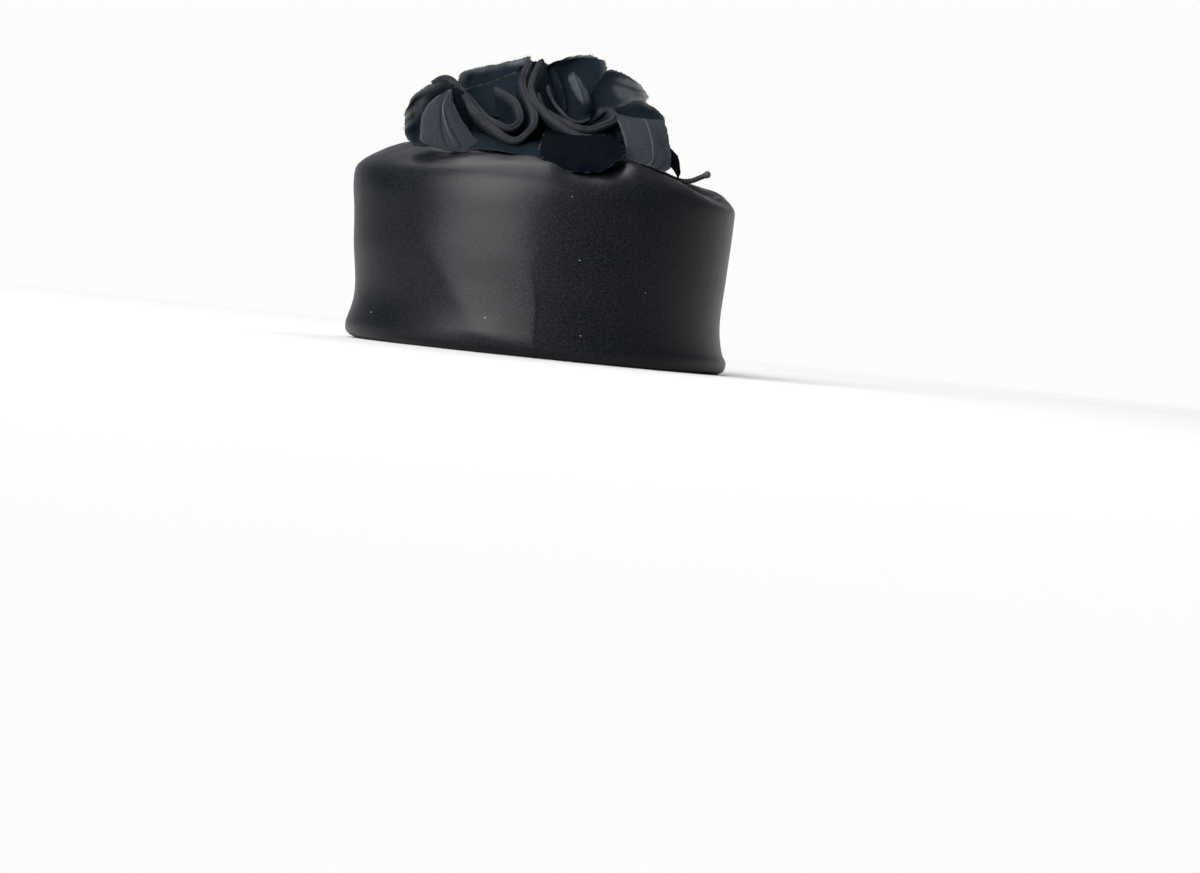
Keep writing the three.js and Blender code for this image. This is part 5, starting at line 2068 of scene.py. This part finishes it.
BACK_ROSE_FOLDS = (
    Fold(
        rows=(
            FoldRow(-31.7, 18.6, 8.0),
            FoldRow(-26.2, 19.2, 12.0),
            FoldRow(-18.5, 9.5, 16.0),
            FoldRow(-10.4, -4.1, 18.5),
            FoldRow(-0.5, -14.6, 20.0),
            FoldRow(8.1, -18.8, 20.0),
            FoldRow(14.4, -11.4, 20.0),
            FoldRow(15.4, -2.6, 19.0),
            FoldRow(10.7, 8.8, 18.0),
            FoldRow(8.6, 19.3, 15.0),
            FoldRow(10.7, 32.8, 12.0),
        ),
        belly=4.5,
        root=5.5,
        stations=190,
        seed=1.0,
    ),
    Fold(
        rows=(
            FoldRow(-15.6, 8.7, 13.5),
            FoldRow(-9.1, -1.4, 16.5),
            FoldRow(-2.7, -7.9, 18.0),
            FoldRow(5.0, -10.6, 18.0),
            FoldRow(9.5, -4.9, 17.5),
            FoldRow(7.1, 4.4, 16.0),
            FoldRow(2.4, 10.7, 14.0),
            FoldRow(-2.9, 15.4, 12.0),
        ),
        belly=1.5,
        root=2.5,
        stations=110,
        seed=2.0,
    ),
)

FRONT_ROSE_FOLDS = (
    Fold(
        rows=(
            FoldRow(-17.3, 32.0, 9.5),
            FoldRow(-19.2, 23.4, 13.0),
            FoldRow(-20.5, 11.5, 16.0),
            FoldRow(-18.4, 3.0, 18.0),
            FoldRow(-13.5, -4.5, 20.0),
            FoldRow(-8.1, -10.0, 21.0),
            FoldRow(-2.0, -14.8, 21.5),
            FoldRow(3.2, -16.9, 21.0),
            FoldRow(8.6, -16.3, 19.5),
            FoldRow(14.5, -13.6, 17.0),
        ),
        belly=4.5,
        root=6.0,
        stations=150,
        seed=3.0,
    ),
    Fold(
        rows=(
            FoldRow(-17.3, 9.1, 13.5),
            FoldRow(-15.1, 2.0, 15.5),
            FoldRow(-10.6, -3.9, 17.5),
            FoldRow(-4.7, -7.9, 19.0),
            FoldRow(1.3, -11.2, 19.5),
            FoldRow(6.2, -11.4, 19.0),
            FoldRow(11.6, -8.1, 17.5),
            FoldRow(17.1, -2.8, 15.0),
            FoldRow(18.4, 2.5, 13.0),
            FoldRow(15.7, 6.3, 12.0),
            FoldRow(11.4, 4.8, 12.0),
        ),
        belly=2.5,
        root=4.0,
        stations=150,
        seed=4.0,
    ),
    Fold(
        rows=(
            FoldRow(-13.4, 19.0, 9.0),
            FoldRow(-10.2, 8.3, 12.0),
            FoldRow(-6.1, 1.4, 14.0),
            FoldRow(-2.0, -3.3, 15.0),
            FoldRow(2.9, -4.2, 14.6),
            FoldRow(7.4, -0.6, 12.6),
        ),
        belly=1.0,
        root=2.0,
        stations=90,
        bead=0.8,
        seed=5.0,
    ),
)


@dataclass
class Trimming:
    """The loose petals and leaves, each from its own table."""

    silk: bpy.types.Material
    deep: bpy.types.Material
    leaf: bpy.types.Material

    def petals(self) -> list[Petal]:
        """Cuts every petal and leaf, each with its own way of curling and tearing.

        Returns:
            The petals, each with the seed of its place in the list.
        """
        silk, deep, leaf = self.silk, self.deep, self.leaf

        def cut(name: str, cloth: bpy.types.Material, slot: Slot = Slot.SILK, **looks: object) -> Petal:
            """One petal from the table of that name."""
            return Petal(f"{name}_cloth", SHEETS[name], cloth, slot, **looks)

        petals = [
            cut("back_leaf", leaf, Slot.LEAF, ruffle=0.5, fray=0.35, threads=20, vein=0.05,
                creases=((-0.32, 0.05), (0.34, 0.05)), corner=0.0),
            cut("front_leaf", leaf, Slot.LEAF, ruffle=0.45, fray=0.5, threads=40, vein=0.18, corner=0.05),
            cut("small_leaf", deep, Slot.LEAF, ruffle=0.4, fray=0.4, threads=16, edge_width=0.5),
            cut("low_petal", deep, ruffle=0.5, fray=0.3, threads=10, edge_width=0.3, corner=0.1),
            cut("back_rose_low_petal", silk, ruffle=0.4, fray=0.3, threads=4, edge_width=0.3, corner=0.0),
            cut("middle_petal", silk, ruffle=0.4, fray=0.3, threads=4, edge_width=0.4),
            cut("front_rose_hood_petal", silk, ruffle=0.8, threads=120, tip_curl=0.6, sheer=0.45),
            cut("front_rose_bud_petal", silk, ruffle=0.25, fray=0.2, threads=4, edge_width=0.6,
                pale=(0.7, 0.62, 0.0, 0.5)),
            cut("front_rose_side_petal", silk, ruffle=0.7, threads=110, sheer=0.7, sheer_width=6.0,
                pale=(0.6, 0.6, 0.1, 0.4)),
            cut("front_rose_corner_petal", silk, ruffle=0.5, threads=60, sheer=0.4),
            cut("back_rose_inner_petal", silk, ruffle=0.5, fray=0.3, threads=20, edge_width=0.9),
            cut("back_rose_top_petal", silk, ruffle=0.9, threads=140, sheer=0.4, sheer_width=5.0,
                pale=(0.9, 0.95, 0.8, 0.3)),
            cut("back_rose_side_petal", silk, ruffle=0.9, threads=130, sheer=0.35, sheer_width=5.0,
                pale=(0.6, 0.85, 0.6, 0.35)),
            cut("rear_left_petal", silk, ruffle=1.1, threads=100, corner=0.05, sheer=0.5),
            cut("rear_right_petal", silk, ruffle=1.1, threads=100, corner=0.05, sheer=0.5),
            cut("rear_middle_petal", silk, ruffle=0.6, threads=50, edge_width=0.3),
            cut("rear_left_leaf", leaf, Slot.LEAF, ruffle=0.5, threads=20, vein=0.0),
            cut("rear_right_leaf", leaf, Slot.LEAF, ruffle=0.5, threads=20, vein=0.0),
        ]
        for number, petal in enumerate(petals, 1):
            petal.seed = float(number)
        return petals


def corners(bounds: tuple[Vector, Vector]) -> list[list[float]]:
    """Lowest and highest corner as plain lists."""
    return [[round(float(v), 6) for v in corner] for corner in bounds]


def main() -> None:
    """Builds the hat on its frame, piece by piece."""
    logging.basicConfig(level=logging.INFO, format="%(name)s: %(message)s")
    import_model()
    Studio().build()
    silk = SilkFinish().material()
    deep_silk = SilkFinish(
        "deep_silk", ground=(0.0004, 0.0009, 0.0021), dusty=(0.0012, 0.0019, 0.0042), shine=0.012
    )
    deep = deep_silk.material()
    leaf = LeafFinish().material()
    binding = BindingFinish().material()
    crown = Crown(SatinFinish().material(), InsideFinish().material())
    crown_piece = crown.build()
    crown.dress(crown_piece)
    log.info("crown: %d faces", len(crown_piece.data.polygons))
    roses = (
        Rose("back_rose_folds", "back_rose_swirl", (-24.6, -20, 97.0), BACK_ROSE_FOLDS, silk, binding),
        Rose("front_rose_folds", "front_rose_swirl", (7.9, -20, 100.0), FRONT_ROSE_FOLDS, silk, binding),
    )
    for rose in roses:
        piece = rose.build()
        neck = rose.neck()
        rose.dress(piece, neck)
        log.info("%s: %d faces, area %.5f", rose.name, len(piece.data.polygons), sheet_area(piece))
    for petal in Trimming(silk, deep, leaf).petals():
        piece = petal.build()
        petal.dress(piece)
        log.info("%s: %d faces", petal.name, len(piece.data.polygons))
    stem = Stem(binding)
    stem_piece = stem.build()
    stem.dress(stem_piece)
    log.info("stem: %d faces", len(stem_piece.data.polygons))


if __name__ == "__main__":
    main()
